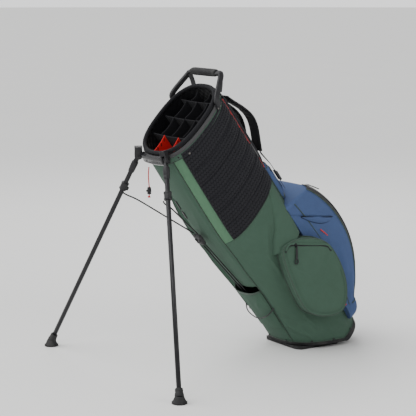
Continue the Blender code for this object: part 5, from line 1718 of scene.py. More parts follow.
def build_ball_pocket(sewing):
    """The big blue pocket: a puffed shell with its arched zip, piping, slip pocket and bar tack."""
    share, height = np.broadcast_arrays(
        ball_shares(230)[:, None], np.linspace(BALL_LOW, BALL_HIGH, 150)[None, :]
    )
    base = ball_point(share, height)
    inner = skin(height, share * EDGE_TURN, 0.0015)
    deep = np.where(share < 0, base[..., 0], 2.0)
    drawn = folds(deep, height, (
        (0.224, 0.416, 0.214, 0.352, 0.0030, 0.007), (0.262, 0.396, 0.232, 0.372, 0.0020, 0.006),
        (0.300, 0.260, 0.220, 0.225, 0.0026, 0.010), (0.310, 0.200, 0.262, 0.060, 0.0030, 0.012),
        (0.284, 0.250, 0.262, 0.150, 0.0022, 0.010), (0.225, 0.300, 0.250, 0.235, 0.0022, 0.009),
        (0.300, 0.090, 0.230, 0.010, 0.0026, 0.010), (0.320, 0.330, 0.285, 0.340, 0.0018, 0.007)))
    sag = (0.0024 * ripple(base, 15.0, 61) + drawn - 0.0008) * fade(share.shape, 6, 8)
    along = SLIP_LINE[0][1] + (deep - SLIP_LINE[0][0]) / (SLIP_LINE[1][0] - SLIP_LINE[0][0]) * (
        SLIP_LINE[1][1] - SLIP_LINE[0][1])
    sag = sag - 0.0014 * np.exp(-(((height - along) / 0.0022) ** 2)) * (deep < 0.334)
    band = np.clip((np.abs(base[..., 1] + 0.098) - 0.016) / 0.008, 0, 1)
    outer = ball_point(share, height, sag * band)
    low, high = np.clip((height - BALL_LOW) / 0.050, 0, 1), np.clip((BALL_HIGH - height) / 0.012, 0, 1)
    full = (np.sqrt(1 - (1 - low) ** 2) * np.sqrt(1 - (1 - high) ** 2))[..., None]
    outer = inner + (outer - inner) * (0.42 + 0.58 * full)
    place("ball_pocket_cloth", slab("ball_pocket_cloth", outer, inner, flat=base), "blue_cloth",
          stands_for=("ball_pocket",))

    turns = np.linspace(math.radians(33.5), math.radians(-42), 130)
    heights = ZIP_CENTRE.z + ZIP_RADIUS * np.sin(turns)
    wide = np.linspace(-0.1175, -0.0800, 12)[:, None]
    spots, rise = np.broadcast_arrays(share_at(wide), heights[None, :])
    flap = 0.0016 + 0.0010 * np.sin(np.pi * np.linspace(0, 1, 12))[:, None]
    tape = slab("ball_zip_tape", ball_point(spots, rise, flap), ball_point(spots, rise, 0.0002))
    place("ball_zip_tape", tape, "black_tape")
    teeth = []
    for shift in (-0.0015, 0.0015):
        line = share_at(np.full(130, ZIP_Y + shift))
        teeth.append((ball_point(line, heights, 0.0034), ball_normal(line, heights)))
    repeat("ball_zip_teeth", "block", teeth, 0.0026, (0.0015, 0.0030, 0.0014), "zip_metal")
    cover = ribbon("ball_zip_cover", ball_point(share_at(np.full(130, -0.1060)), heights, 0.0034),
                   ball_normal(share_at(np.full(130, -0.1060)), heights), 0.0150, 0.0018, corner=0.0006)
    place("ball_zip_cover", cover, "black_braid")
    corner = share_at(np.full(130, -0.1195))
    down = [tuple(p) for p in ball_point(corner, heights, 0.0010)[::6]]
    for s, z in ((-0.700, 0.040), (-0.710, 0.012), (-0.80, 0.004), (-0.90, 0.002),
                 (-0.965, 0.002), (-0.985, 0.002)):
        down.append(tuple(ball_point(s, z, 0.0010)))
    place("ball_piping_right", tube("ball_piping_right", smooth_path(down, 0.004), sewing.piping_radius, 12),
          "green_piping")
    inside = ball_point(share_at(np.full(130, -0.0785)), heights, 0.0008)
    place("ball_piping_left", tube("ball_piping_left", inside, sewing.piping_radius * 0.8, 12), "blue_cloth")
    edge_heights = np.linspace(0.004, 0.414, 110)
    for side, sign in SIDES:
        line = ball_point(sign * 0.9985, edge_heights, 0.0006)
        place("ball_edge_piping_" + side, tube("ball_edge_piping_" + side, line, 0.0014, 10), "green_piping")
    runs = []
    for wide in (-0.1225, -0.0760):
        line = share_at(np.full(130, wide))
        runs.append((ball_point(line, heights, 0.0008), ball_normal(line, heights)))
    for gap in (0.0030, 0.0052):
        runs.append(panel_line([(x, z + gap) for x, z in SLIP_LINE], 70, 0.0, 0.0016))
    stitch("ball_pocket_stitches", runs, "blue_thread", sewing)
    mouth = ((0.238, 0.3655), (0.330, 0.2850))
    u = np.linspace(0, 1, 44)[:, None]
    v = np.linspace(0, 1, 14)[None, :]
    x = mouth[0][0] + (mouth[1][0] - mouth[0][0]) * u + 0 * v
    z = mouth[0][1] + (mouth[1][1] - mouth[0][1]) * u - 0.0260 * v * np.sin(np.pi * u) ** 0.75
    puff = 0.0010 + 0.0062 * np.sin(np.pi * u) ** 0.6 * np.sin(np.pi * (0.12 + 0.80 * v))
    lip = slab(
        "slip_pocket_lip", ball_point(panel_share(x, z), z, puff + 0.0012),
        ball_point(panel_share(x, z), z, 0.0004)
    )
    place("slip_pocket_lip", lip, "blue_cloth")
    # painted shadow: two near-black lines in the lining finish, one along the slip pocket's opening and one under
    # its lip
    for name, bow, radius, finish, out in (("slip_pocket_mouth_shadow", 0.0022, 0.0013, "lining_and_shadow_line_cloth", 0.0042),
                                           ("slip_pocket_lip_shadow", 0.0262, 0.0009, "lining_and_shadow_line_cloth", 0.0016)):
        line, _ = panel_line(mouth, 60, bow, out)
        place(name, tube(name, line, radius, 10), finish)
    line, normal = panel_line(((0.2715, 0.2835), (0.2830, 0.2500)), 12, 0.0, 0.0030)
    place("bar_tack", ribbon("bar_tack", line, normal, 0.0052, 0.0020, corner=0.0007), "red_piping")
    turn = math.radians(32)
    slider_body(ZIP_CENTRE + Vector((math.cos(turn), 0, math.sin(turn))) * (ZIP_RADIUS + 0.0005)
                + Vector((0, ZIP_Y, 0)), "back")


def slider_body(at, which):
    """The zip slider and its pull: the arched zip's at the back, or the D-shaped pocket's at the side."""
    if which == "back":
        frame_at = BAG @ Matrix.Translation(at) @ Matrix.Rotation(math.pi / 2 - math.radians(32), 4, "Y")
        body, pull_body, node, pull_node = "back_slider", "back_pull", "back_zip_slider", "back_zip_pull"
        base = [(x, y) for x, y in rounded(0.0140, 0.0098, 0.0034, 6)]
        low = moulded("low", base, -0.0022, 0.0006, 0.0007, 2, axis="Z")
        top = moulded("top", [(x * 0.86, y * 0.8) for x, y in base], 0.0004, 0.0022, 0.0007, 2, axis="Z")
        arch = smooth_path(
            [(-0.0045, 0, 0.0018), (-0.0030, 0, 0.0044), (0.0016, 0, 0.0050), (0.0040, 0, 0.0020)], 0.0007
        )
        bridge = ribbon(
            "bridge", arch, np.tile((0, 0, 1.0), (len(arch), 1)) + 0.01, 0.0026, 0.0011, corner=0.0003
        )
        strap = [(0.0265 + a, b) for a, b in rounded(0.0480, 0.0058, 0.0026, 6)]
        pull = moulded("pull", strap, 0.0034, 0.0058, 0.0008, 2, axis="Z")
        nubs = [(np.array(((0.020 + i * 0.0036, -0.0022, 0.0059), (0.020 + i * 0.0036, 0.0022, 0.0059))),
                 np.array(((0, 0, 1), (0, 0, 1.0)))) for i in range(8)]
        nub_at, size = frame_at, (0.0044, 0.0012, 0.0006)
    else:
        frame_at = BAG @ Matrix.Translation(at)
        body, pull_body, node, pull_node = "side_slider", "side_pull", "side_zip_slider", "side_zip_pull"
        base = [(x, z) for x, z in rounded(0.0098, 0.0138, 0.0034, 6)]
        low = moulded("low", base, -0.0006, 0.0022, 0.0007, 2)
        top = moulded("top", [(x * 0.8, z * 0.86) for x, z in base], -0.0022, -0.0004, 0.0007, 2)
        arch = smooth_path(
            [(0, -0.0018, 0.0046), (0, -0.0044, 0.0030), (0, -0.0046, -0.0018), (0, -0.0020, -0.0042)], 0.0007
        )
        bridge = ribbon(
            "bridge", arch, np.tile((0.01, -1.0, 0.01), (len(arch), 1)), 0.0026, 0.0011, corner=0.0003
        )
        strap = [
            (a * np.interp(b, (-0.02, 0.02), (1.5, 0.9)), -0.0235 + b) for a,
            b in rounded(0.0058, 0.0400, 0.0026, 6)
        ]
        pull = moulded("pull", strap, -0.0057, -0.0033, 0.0008, 2)
        turn = np.linspace(0, math.tau, 30, endpoint=False)
        ring = np.stack([0.0058 * np.sin(turn), 0 * turn - 0.0045, -0.0500 + 0.0072 * np.cos(turn)], -1)
        pull = joined("pull", [pull, tube("ring", ring, 0.0017, 12, closed=True)])
        nubs = [(np.array(((-0.0022, -0.0058, -0.014 - i * 0.0036), (0.0022, -0.0058, -0.014 - i * 0.0036))),
                 np.array(((0, -1.0, 0), (0, -1.0, 0)))) for i in range(6)]
        nub_at, size = Matrix.Translation(frame_at.translation), (0.0044, 0.0012, 0.0006)
    place(
        which + "_zip_runner", joined("runner", [low, top, bridge]), "zip_metal", body, frame_at,
        stands_for=(node,)
    )
    place(which + "_zip_tongue", pull, "moulded_black", pull_body, nub_at, stands_for=(pull_node,))
    repeat(which + "_zip_tongue_ribs", "block", nubs, 0.0044, size, "moulded_black", pull_body, nub_at)


SIDE_OUTLINE = (
    (0.142, 0.350), (0.187, 0.330), (0.236, 0.285), (0.258, 0.235), (0.256, 0.160), (0.236, 0.092),
    (0.200, 0.044), (0.164, 0.034), (0.114, 0.062), (0.078, 0.105), (0.066, 0.150), (0.078, 0.250),
    (0.104, 0.340)
)


def side_ring(inset, y):
    """The side pocket's outline as a smooth loop, drawn in towards its middle and set at a depth."""
    flat = smooth_path([(x, 0, z) for x, z in SIDE_OUTLINE], 0.004, closed=True)[:, (0, 2)]
    step = np.roll(flat, -1, 0) - np.roll(flat, 1, 0)
    normal = np.stack([-step[:, 1], step[:, 0]], -1)
    normal /= np.linalg.norm(normal, axis=1)[:, None]
    middle = flat.mean(0)
    normal *= np.sign(np.sum((middle - flat) * normal, 1))[:, None]
    inner = flat + normal * inset
    return np.stack([inner[:, 0], np.full(len(inner), y), inner[:, 1]], -1)


def build_side_pocket(sewing):
    """The D-shaped pocket on the right side: a piped, crowned face on a deep gusset, with a zip along its top."""
    rings = [
        side_ring(0.004, -SIDE_INNER + 0.003), side_ring(0.0012, -SIDE_INNER), side_ring(0.0020, -0.1410),
        side_ring(0.0028, -0.1500), side_ring(0.0014, -0.1585)
    ]
    for turn in np.radians((0, 22, 45, 68, 86)):
        rings.append(side_ring(0.0055 * (1 - math.cos(turn)), -SIDE_OUTER + 0.0055 - 0.0055 * math.sin(turn)))
    edge = side_ring(0.0080, -SIDE_OUTER - 0.0004)
    middle = np.array((0.158, 0, 0.190))
    shares = (1.0, 0.985, 0.96, 0.92, 0.87, 0.81, 0.74, 0.66, 0.57, 0.48, 0.38, 0.28, 0.18, 0.08)
    for share in shares:
        ring = middle + (edge - middle) * share
        full = 0.0042 * (1 - share**4)
        ring[:, 1] = -SIDE_OUTER - 0.0004 - full
        spot = ring[:, (0, 2)]
        drawn = folds(spot[:, 0], spot[:, 1], (
            (0.100, 0.300, 0.150, 0.200, 0.0022, 0.008), (0.090, 0.180, 0.150, 0.110, 0.0024, 0.008),
            (0.235, 0.230, 0.180, 0.170, 0.0022, 0.009), (0.120, 0.085, 0.175, 0.120, 0.0022, 0.007),
            (0.215, 0.090, 0.180, 0.150, 0.0020, 0.008)))
        ring[:, 1] -= (drawn + 0.0011 * ripple(ring, 38.0, 71)) * (1 - share**6)
        rings.append(ring)
    rings = np.array(rings)
    mesh = loft("side_pocket_cloth", rings)
    place("side_pocket_cloth", mesh, "green_soft", stands_for=("side_pocket",))
    face = side_ring(0.0022, -0.16480)
    place("side_pocket_piping", tube("side_pocket_piping", face, sewing.piping_radius, 12, closed=True),
          "green_piping")
    back = side_ring(-0.0004, -SIDE_INNER - 0.0014)
    place(
        "side_pocket_back_piping", tube("side_pocket_back_piping", back, 0.0014, 12, closed=True),
        "green_piping"
    )
    loops = []
    for inset in (0.0105, 0.0135):
        ring = side_ring(inset, -SIDE_OUTER - 0.0016)
        front = (ring[:, 0] < 0.150) | (ring[:, 2] < 0.150)
        start = int(np.argmax(front & ~np.roll(front, 1)))
        order = np.roll(np.arange(len(ring)), -start)
        keep = order[: int(front.sum())]
        loops.append((ring[keep], np.tile((0, -1.0, 0), (len(keep), 1))))
    for inset, depth in ((-0.0006, -0.1450), (-0.0006, -0.1540)):
        ring = side_ring(inset, depth)
        out = ring - side_ring(inset + 0.01, depth)
        loops.append((np.concatenate([ring, ring[:1]]), np.concatenate([out, out[:1]])))
    stitch("side_pocket_stitches", loops, "green_thread", sewing)
    y = -SIDE_OUTER - 0.0014
    line = smooth_path(
        [
            (0.112, y, 0.337), (0.134, y, 0.3440), (0.154, y - 0.0002, 0.3300), (0.1983, y - 0.0006, 0.2895),
            (0.2425, y, 0.2490), (0.2480, y, 0.2250)
        ],
        0.003
    )
    facing = np.tile((0, -1.0, 0), (len(line), 1))
    tape = ribbon("side_zip_tape", line, facing, 0.0060, 0.0012, corner=0.0004)
    place("side_zip_tape", tape, "black_tape")
    flap = ribbon("side_zip_flap", line + (0.0030, -0.0004, 0.0034), facing, 0.0068, 0.0022, corner=0.0008)
    place("side_zip_flap", flap, "green_soft")
    _, aside, _ = frames_along(line, up=facing)
    teeth = [(line + aside * shift + (0, -0.0008, 0), facing) for shift in (-0.0008, 0.0008)]
    repeat("side_zip_teeth", "block", teeth, 0.0026, (0.0015, 0.0018, 0.0010), "zip_metal")
    slider_body(Vector((0.154, -SIDE_OUTER - 0.0032, 0.330)), "side")
    heights = np.linspace(0.338, 0.510, 34)[None, :]
    share = np.linspace(0, 1, 22)[:, None]
    rise = (heights - 0.338) / 0.172
    turns = -np.radians(np.interp(share, (0, 1), (0, 1)) * (44 - 26 * rise) + (58 - 14 * rise))
    height = np.broadcast_to(heights, turns.shape)
    stand = 0.0010 + 0.031 * (1 - rise) ** 1.15 * np.sin(np.pi * np.clip(share, 0.0, 1.0)) ** 0.6
    stand = stand + 0.0010 * ripple(skin(height, turns), 40.0, 81) * np.sin(np.pi * share)
    wedge = slab("side_gusset_wedge", skin(height, turns, stand), skin(height, turns, 0.0006))
    place("side_gusset_wedge", wedge, "green_cloth")
    rows = np.linspace(0.0, -0.012, 10)
    tag = np.stack([0.196 + 0 * rows, -0.150 + 0 * rows, 0.040 + rows], -1)
    place(
        "side_pocket_tag",
        ribbon("side_pocket_tag", tag, np.tile((0, -1.0, 0), (10, 1)), 0.016, 0.0016, corner=0.0004),
        "red_cloth"
    )


def dome_share(u, v, edge):
    def rise(s):
        return np.sqrt(np.maximum(0, 1 - (1 - np.minimum(s, 1.0)) ** 2))
    return rise(np.minimum(u, 1 - u) / edge) * rise(np.minimum(v, 1 - v) / edge)


def soft_pad_grid(start, end, low, high, columns, rows, thick, rim, edge):
    """Angles, heights and standing height of a pad or pocket that lies on the body, thin at its rim."""
    turns = np.radians(np.linspace(start, end, columns))
    angle, height = wall_grid(turns, low, high, rows)
    u = np.linspace(0, 1, columns)[:, None]
    v = np.linspace(0, 1, rows)[None, :]
    return angle, height, u, v, 0.0015 + rim + (thick - rim) * dome_share(u, v, edge)


def build_apparel_pocket(sewing):
    """The long garment pocket on the left side, with a full-height zip and a bound lower end."""
    angle, height, u, v, stand = soft_pad_grid(
        66, 147, level(0.120), level(0.640), 96, 150, 0.030, 0.003, 0.35
    )
    base = skin(height, angle)
    drawn = folds(u * 0.19, v * 0.52, (
        (0.030, 0.48, 0.120, 0.36, 0.0030, 0.010), (0.160, 0.42, 0.080, 0.28, 0.0028, 0.010),
        (0.040, 0.25, 0.140, 0.16, 0.0030, 0.010), (0.150, 0.12, 0.070, 0.03, 0.0030, 0.009),
        (0.170, 0.30, 0.120, 0.20, 0.0022, 0.009)))
    stand = stand + (0.0020 * ripple(base, 17.0, 91) + drawn - 0.0008) * fade(angle.shape, 10, 10)
    zip_u = 0.80
    stand = stand - 0.0022 * np.exp(-(((u - zip_u) * 0.19 / 0.006) ** 2)) * fade(angle.shape, 1, 14)
    mesh = slab("garment_pocket", skin(height, angle, stand), skin(height, angle, 0.0015), flat=base)
    place("garment_pocket", mesh, "green_cloth", stands_for=("apparel_pocket",))
    column = int(zip_u * 95)
    keep = slice(12, 138)
    line = skin(height[column, keep], angle[column, keep], stand[column, keep] + 0.0006)
    normal = skin_normal(height[column, keep], angle[column, keep])
    place(
        "garment_zip_tape", ribbon("garment_zip_tape", line, normal, 0.0125, 0.0014, corner=0.0004),
        "black_tape"
    )
    _, aside, _ = frames_along(line, up=normal)
    teeth = [(line + normal * 0.0009 + aside * shift, normal) for shift in (-0.0013, 0.0013)]
    repeat("garment_zip_teeth", "block", teeth, 0.0026, (0.0015, 0.0030, 0.0012), "zip_metal")
    grip = ribbon(
        "pull", line[-8:-2][::-1] + normal[-5] * 0.0034, normal[-8:-2], 0.009, 0.0028, corner=0.0010
    )
    tail = ribbon("tail", line[-22:-6] + normal[-10] * 0.0050, normal[-22:-6], 0.006, 0.0020, corner=0.0008)
    place("garment_zip_pull", joined("garment_zip_pull", [grip, tail]), "zip_metal")
    ends = []
    for row, name in ((2, "garment_binding_low"), (147, "garment_binding_high")):
        path = skin(height[:, row], angle[:, row], stand[:, row] + 0.0008)
        ends.append(path)
        place(
            name, tube(name, path, 0.0024 if row == 2 else 0.0016, 12),
            "black_braid" if row == 2 else "green_piping"
        )
    runs = []
    for shift in (-0.046, 0.046):
        column = int((zip_u + shift) * 95)
        runs.append((skin(height[column, keep], angle[column, keep], stand[column, keep] + 0.0005),
                     skin_normal(height[column, keep], angle[column, keep])))
    for column in (3, 92):
        line = skin(height[column, 5:145], angle[column, 5:145], stand[column, 5:145] + 0.0006)
        name = "garment_edge_" + ("back" if column == 3 else "front")
        place(name, tube(name, line, 0.0014, 10), "green_piping")
    stitch("garment_stitches", runs, "green_thread", sewing)


# ---------------------------------------------------------------- the carrying side


def inflated(mesh, voxel, pressure, cap, steps=20):
    """The mesh swollen like a filled pad by a short cloth run, no point moving further than the cap."""
    scene = bpy.context.scene
    holder = bpy.data.objects.new("pad", mesh)
    scene.collection.objects.link(holder)
    remesh = holder.modifiers.new("Remesh", "REMESH")
    remesh.mode, remesh.voxel_size = "VOXEL", voxel
    bpy.context.view_layer.update()
    fine = bpy.data.meshes.new_from_object(holder.evaluated_get(bpy.context.evaluated_depsgraph_get()))
    holder.modifiers.clear()
    holder.data = fine
    rest = np.array([v.co for v in fine.vertices])
    cloth_on = holder.modifiers.new("Cloth", "CLOTH")
    cloth_on.settings.use_pressure = True
    cloth_on.settings.uniform_pressure_force = pressure
    cloth_on.settings.effector_weights.gravity = 0.0
    cloth_on.settings.quality = 5
    cloth_on.point_cache.frame_start, cloth_on.point_cache.frame_end = 1, steps
    for number in range(1, steps + 1):
        scene.frame_set(number)
    grown = bpy.data.meshes.new_from_object(holder.evaluated_get(bpy.context.evaluated_depsgraph_get()))
    holder.modifiers.clear()
    scene.frame_set(1)
    now = np.array([v.co for v in grown.vertices])
    move = now - rest
    far = np.linalg.norm(move, axis=1)[:, None]
    move *= np.minimum(1.0, cap / np.maximum(far, 1e-9))
    grown.vertices.foreach_set("co", (rest + move).ravel())
    grown.update()
    holder.data = grown
    finer = holder.modifiers.new("Smooth", "SUBSURF")
    finer.levels = finer.render_levels = 1
    bpy.context.view_layer.update()
    made = bpy.data.meshes.new_from_object(holder.evaluated_get(bpy.context.evaluated_depsgraph_get()))
    bpy.data.objects.remove(holder, do_unlink=True)
    return made


def back_map(mesh):
    """A UV map in metres laid from behind, for a pad that lost its own in the remesh."""
    layer = mesh.uv_layers.new(name="UVMap")
    corner = np.zeros(len(mesh.loops), np.int32)
    mesh.loops.foreach_get("vertex_index", corner)
    points = np.array([v.co for v in mesh.vertices])
    layer.data.foreach_set("uv", points[corner][:, (1, 2)].astype(np.float32).ravel())
    return mesh


def build_back(sewing):
    """The back pad, two shoulder straps with their webbing and buckle, and the insulated pouch."""
    angle, height, u, v, stand = soft_pad_grid(
        -33.2, 33.2, level(0.566), lambda x: panel_top(x) - 0.005, 60, 90, 0.0075, 0.002, 0.2
    )
    quilt = slab("hip_pad", skin(height, angle, stand), skin(height, angle, 0.0022))
    mesh = inflated(quilt, 0.004, 3.0, 0.0024)
    points = np.array([p.co for p in mesh.vertices])
    share = wrapped(points[:, 1] + 0.0, 0.052)
    channel = np.exp(-(((np.abs(np.abs(share) - 0.026)) / 0.0030) ** 2))
    outer = points[:, 0] > skin(points[:, 2], np.arctan2(points[:, 1], 0.12), 0.003)[:, 0]
    points[:, 0] -= 0.0035 * channel * outer
    mesh.vertices.foreach_set("co", points.ravel())
    mesh.update()
    pad = place("hip_pad", back_map(mesh), "spacer_mesh", stands_for=("back_pad",), smooth=60)
    rim_turns = np.radians(np.linspace(-33.4, 33.4, 50))
    edge_lines = [skin(np.full(50, 0.5665), rim_turns, 0.0040),
                  skin(edge_height(lambda x: panel_top(x) - 0.006, rim_turns), rim_turns, 0.0040)]
    for number, line in enumerate(edge_lines, 1):
        name = f"hip_pad_binding_{number}"
        place(name, tube(name, line, 0.0019, 10), "black_braid")
    runs = []
    for side, sign in SIDES:
        z = np.linspace(0.585, 0.805, 45)
        share = (z - 0.585) / 0.22
        rise = 0.0125 + 0.036 * np.maximum(np.sin(np.pi * share), 0) ** 1.5
        line = np.stack([skin(z, 0 * z)[:, 0] + rise + 0.0045, np.full(45, sign * 0.036), z], -1)
        up = np.stack([np.ones(45), np.zeros(45), -np.gradient(line[:, 0], z)], -1)
        wide = np.interp(share, (0, 0.1, 0.5, 0.9, 1), (0.80, 0.97, 1.0, 0.97, 0.80))
        raw = ribbon("shoulder_pad_" + side, line, up, 0.0445, 0.0062, corner=0.0026, widths=wide)
        mesh = inflated(raw, 0.004, 4.0, 0.0016)
        pad = place(
            "shoulder_pad_" + side, mesh, "black_cloth", stands_for=("shoulder_strap_" + side,), smooth=60
        )
        for edge in (-1, 1):
            rim = line + np.stack([0 * wide, edge * 0.0228 * wide, 0 * wide], -1)
            name = f"shoulder_binding_{side}_{'outer' if edge * sign > 0 else 'inner'}"
            place(name, tube(name, rim[1:-1], 0.0019, 10), "black_braid")
        centre = line[3:-3] + up[3:-3] / np.linalg.norm(up[3:-3], axis=1)[:, None] * 0.0050
        web = ribbon("shoulder_web_" + side, centre, up[3:-3], 0.020, 0.0016, corner=0.0004)
        place("shoulder_web_" + side, web, "black_tape")
        for shift in (-0.0085, 0.0085):
            runs.append((centre + (0.0011, shift, 0), up[3:-3]))
        tail_turn = sign * math.radians(22)
        lower = [tuple(line[1] + (0.004, 0, 0)), tuple(skin(0.578, sign * math.radians(14), 0.020)),
                 tuple(skin(0.540, tail_turn, 0.0235)), tuple(skin(0.500, sign * math.radians(24), 0.0225)),
                 tuple(skin(0.452, sign * math.radians(25), 0.0215))]
        path = smooth_path(lower, 0.004)
        turns = np.arctan2(path[:, 1], 0.14)
        web = ribbon("strap_tail_" + side, path, skin_normal(path[:, 2], turns), 0.019, 0.0016, corner=0.0004)
        place("strap_tail_" + side, web, "black_tape")
    stitch("strap_stitches", runs, "black_thread", sewing)
    angle, height, u, v, stand = soft_pad_grid(-35, 35, level(0.432), level(0.556), 76, 60, 0.016, 0.003, 0.3)
    base = skin(height, angle)
    stand = stand + (0.0014 * ripple(base, 26.0, 95) + folds(u * 0.18, v * 0.124, (
        (0.015, 0.015, 0.060, 0.060, 0.0020, 0.006), (0.165, 0.015, 0.120, 0.060, 0.0020, 0.006))) - 0.0007
        ) * fade(angle.shape, 8, 8)
    zip_dip = np.exp(-(((height - 0.532) / 0.006) ** 2))
    stand = stand - 0.0016 * zip_dip * fade(angle.shape, 6, 1)
    mesh = slab("cool_pouch", skin(height, angle, stand), skin(height, angle, 0.0015), flat=base)
    place("cool_pouch", mesh, "blue_cloth", stands_for=("cooler_pocket",))
    row = int(0.806 * 59)
    keep = slice(6, 70)
    line = skin(height[keep, row], angle[keep, row], stand[keep, row] + 0.0007)
    normal = skin_normal(height[keep, row], angle[keep, row])
    place(
        "pouch_zip_tape", ribbon("pouch_zip_tape", line, normal, 0.011, 0.0014, corner=0.0004), "black_tape"
    )
    _, aside, _ = frames_along(line, up=normal)
    teeth = [(line + normal * 0.0009 + aside * shift, normal) for shift in (-0.0013, 0.0013)]
    repeat("pouch_zip_teeth", "block", teeth, 0.0026, (0.0015, 0.0030, 0.0012), "zip_metal")
    for name, row in (("pouch_piping_low", 2), ("pouch_piping_high", 57)):
        line = skin(height[:, row], angle[:, row], stand[:, row] + 0.0008)
        place(name, tube(name, line, sewing.piping_radius, 12), "green_piping")
    at = Vector(skin(0.500, math.radians(-24), 0.024))
    facing = Matrix.Translation(at) @ Matrix.Rotation(math.radians(-14), 4, "Z")
    frame_bars = []
    for low, high in (((-0.0036, -0.011, -0.017), (0.0036, -0.0078, 0.017)),
                      ((-0.0036, 0.0078, -0.017), (0.0036, 0.011, 0.017))):
        outline = [
            (y, z) for y, z in ((low[1], low[2]), (high[1], low[2]), (high[1], high[2]), (low[1], high[2]))
        ]
        frame_bars.append(moulded("side", outline, low[0], high[0], 0.0010, 3, axis="X"))
    for z in (-0.0150, -0.0015, 0.0135):
        outline = [(y, z + dz) for y, dz in rounded(0.021, 0.0040, 0.0016, 4)]
        frame_bars.append(moulded("bar", outline, -0.0034, 0.0034, 0.0008, 2, axis="X"))
    place("strap_ladder_buckle", joined("strap_ladder_buckle", frame_bars), "moulded_black", at=BAG @ facing,
          stands_for=("strap_buckle",))


# ---------------------------------------------------------------- sizes and colours to change


def colour(label, note, value):
    return bpy.props.FloatVectorProperty(
        name=label, description=note, subtype="COLOR", size=3, min=0.0, max=1.0, default=value
    )


def size(label, note, value):
    return bpy.props.FloatProperty(name=label, description=note, default=value, min=0.0, unit="LENGTH",
                                   precision=5)


class StandBagColours(bpy.types.PropertyGroup):
    """Colours of the cloths and of the floor."""

    green: colour("Green cloth", "Body panels and side pockets", (0.055, 0.10, 0.072))
    pale_green: colour("Pale green strip", "Strip beside the side mesh", (0.091, 0.188, 0.114))
    blue: colour("Blue cloth", "Ball pocket and cool pouch", (0.058, 0.093, 0.198))
    red: colour("Red", "Piping, tabs, drawcord and front dividers", (0.578, 0.021, 0.021))
    mesh: colour("Mesh", "Spacer mesh on the sides and the hip pad", (0.0116, 0.0116, 0.0152))
    # this colour also paints the shadow lines at the slip pocket's opening and under its lip
    lining: colour("Lining", "Inside of the mouth and of the slip pocket", (0.0033, 0.0033, 0.0044))
    floor: colour("Floor", "Floor under the bag", (0.78, 0.78, 0.77))


class StandBagSewing(bpy.types.PropertyGroup):
    """Sizes of the sewing and of the padded mesh."""

    pad_size: size("Pad width", "Width of one raised pad of the spacer mesh", 0.0095)
    pad_rise: size("Pad height", "How far a pad stands up", 0.0026)
    band: size("Quilt band", "Distance between the seams across the mesh", 0.0525)
    sag: size("Cloth sag", "How far a slack panel stands off", 0.0013)
    stitch_pitch: size("Stitch pitch", "Distance from stitch to stitch", 0.0036)
    stitch_length: size("Stitch length", "Length of one stitch", 0.0026)
    piping_radius: size("Piping radius", "Half the thickness of the piping", 0.0016)


class StandBagHardware(bpy.types.PropertyGroup):
    """Sizes of the metal and plastic parts."""

    rivet: size("Rivet width", "Width of a rivet head", 0.0066)
    leg_radius: size("Leg radius", "Half the thickness of a leg tube", 0.0072)
    rod_radius: size("Rod radius", "Half the thickness of the lift rod", 0.0022)
    strut_radius: size("Strut radius", "Half the thickness of a leg strut", 0.0023)


# ---------------------------------------------------------------- operators


class StandBagFinishes(bpy.types.Operator):
    """Makes the cloth, plastic, rubber and metal finishes"""

    bl_idname = "stand_bag.finishes"
    bl_label = "Finishes"

    def execute(self, context):
        build_finishes(context.scene.stand_bag_colours)
        return {"FINISHED"}


class StandBagStage(bpy.types.Operator):
    """Sets the floor, the lights and the camera"""

    bl_idname = "stand_bag.stage"
    bl_label = "Stage"

    def execute(self, context):
        build_stage(context.scene.stand_bag_colours)
        return {"FINISHED"}


class StandBagCords(bpy.types.Operator):
    """Hangs the drawcord and the elastic loop"""

    bl_idname = "stand_bag.cords"
    bl_label = "Cords"

    def execute(self, context):
        build_cords()
        return {"FINISHED"}


class StandBagShell(bpy.types.Operator):
    """Sews the green panels of the body"""

    bl_idname = "stand_bag.shell"
    bl_label = "Body panels"

    def execute(self, context):
        build_shell(context.scene.stand_bag_sewing)
        return {"FINISHED"}


class StandBagSideMesh(bpy.types.Operator):
    """Quilts the spacer mesh on both sides"""

    bl_idname = "stand_bag.side_mesh"
    bl_label = "Side mesh"

    def execute(self, context):
        build_side_mesh(context.scene.stand_bag_sewing)
        return {"FINISHED"}


class StandBagSeams(bpy.types.Operator):
    """Adds seam cords, stitches, piping and rivets"""

    bl_idname = "stand_bag.seams"
    bl_label = "Seams and rivets"

    def execute(self, context):
        build_seams(context.scene.stand_bag_sewing, context.scene.stand_bag_hardware)
        return {"FINISHED"}


class StandBagCuff(bpy.types.Operator):
    """Makes the rim roll, the cuff band and the lip bracket"""

    bl_idname = "stand_bag.cuff"
    bl_label = "Cuff"

    def execute(self, context):
        build_cuff(context.scene.stand_bag_hardware)
        return {"FINISHED"}


class StandBagDividers(bpy.types.Operator):
    """Pads the fourteen club slots"""

    bl_idname = "stand_bag.dividers"
    bl_label = "Dividers"

    def execute(self, context):
        build_dividers()
        return {"FINISHED"}


class StandBagHandle(bpy.types.Operator):
    """Makes the carry grip and its brackets"""

    bl_idname = "stand_bag.handle"
    bl_label = "Handle"

    def execute(self, context):
        build_handle(context.scene.stand_bag_hardware)
        return {"FINISHED"}


class StandBagLegs(bpy.types.Operator):
    """Makes the two legs with their fittings and feet"""

    bl_idname = "stand_bag.legs"
    bl_label = "Legs"

    def execute(self, context):
        build_legs(context.scene.stand_bag_hardware)
        return {"FINISHED"}


class StandBagSockets(bpy.types.Operator):
    """Makes the clevis and the pin of each leg"""

    bl_idname = "stand_bag.sockets"
    bl_label = "Leg sockets"

    def execute(self, context):
        build_sockets()
        return {"FINISHED"}


class StandBagLinkage(bpy.types.Operator):
    """Makes the yoke, rods, struts and rod cover"""

    bl_idname = "stand_bag.linkage"
    bl_label = "Linkage"

    def execute(self, context):
        build_linkage(context.scene.stand_bag_sewing, context.scene.stand_bag_hardware)
        return {"FINISHED"}


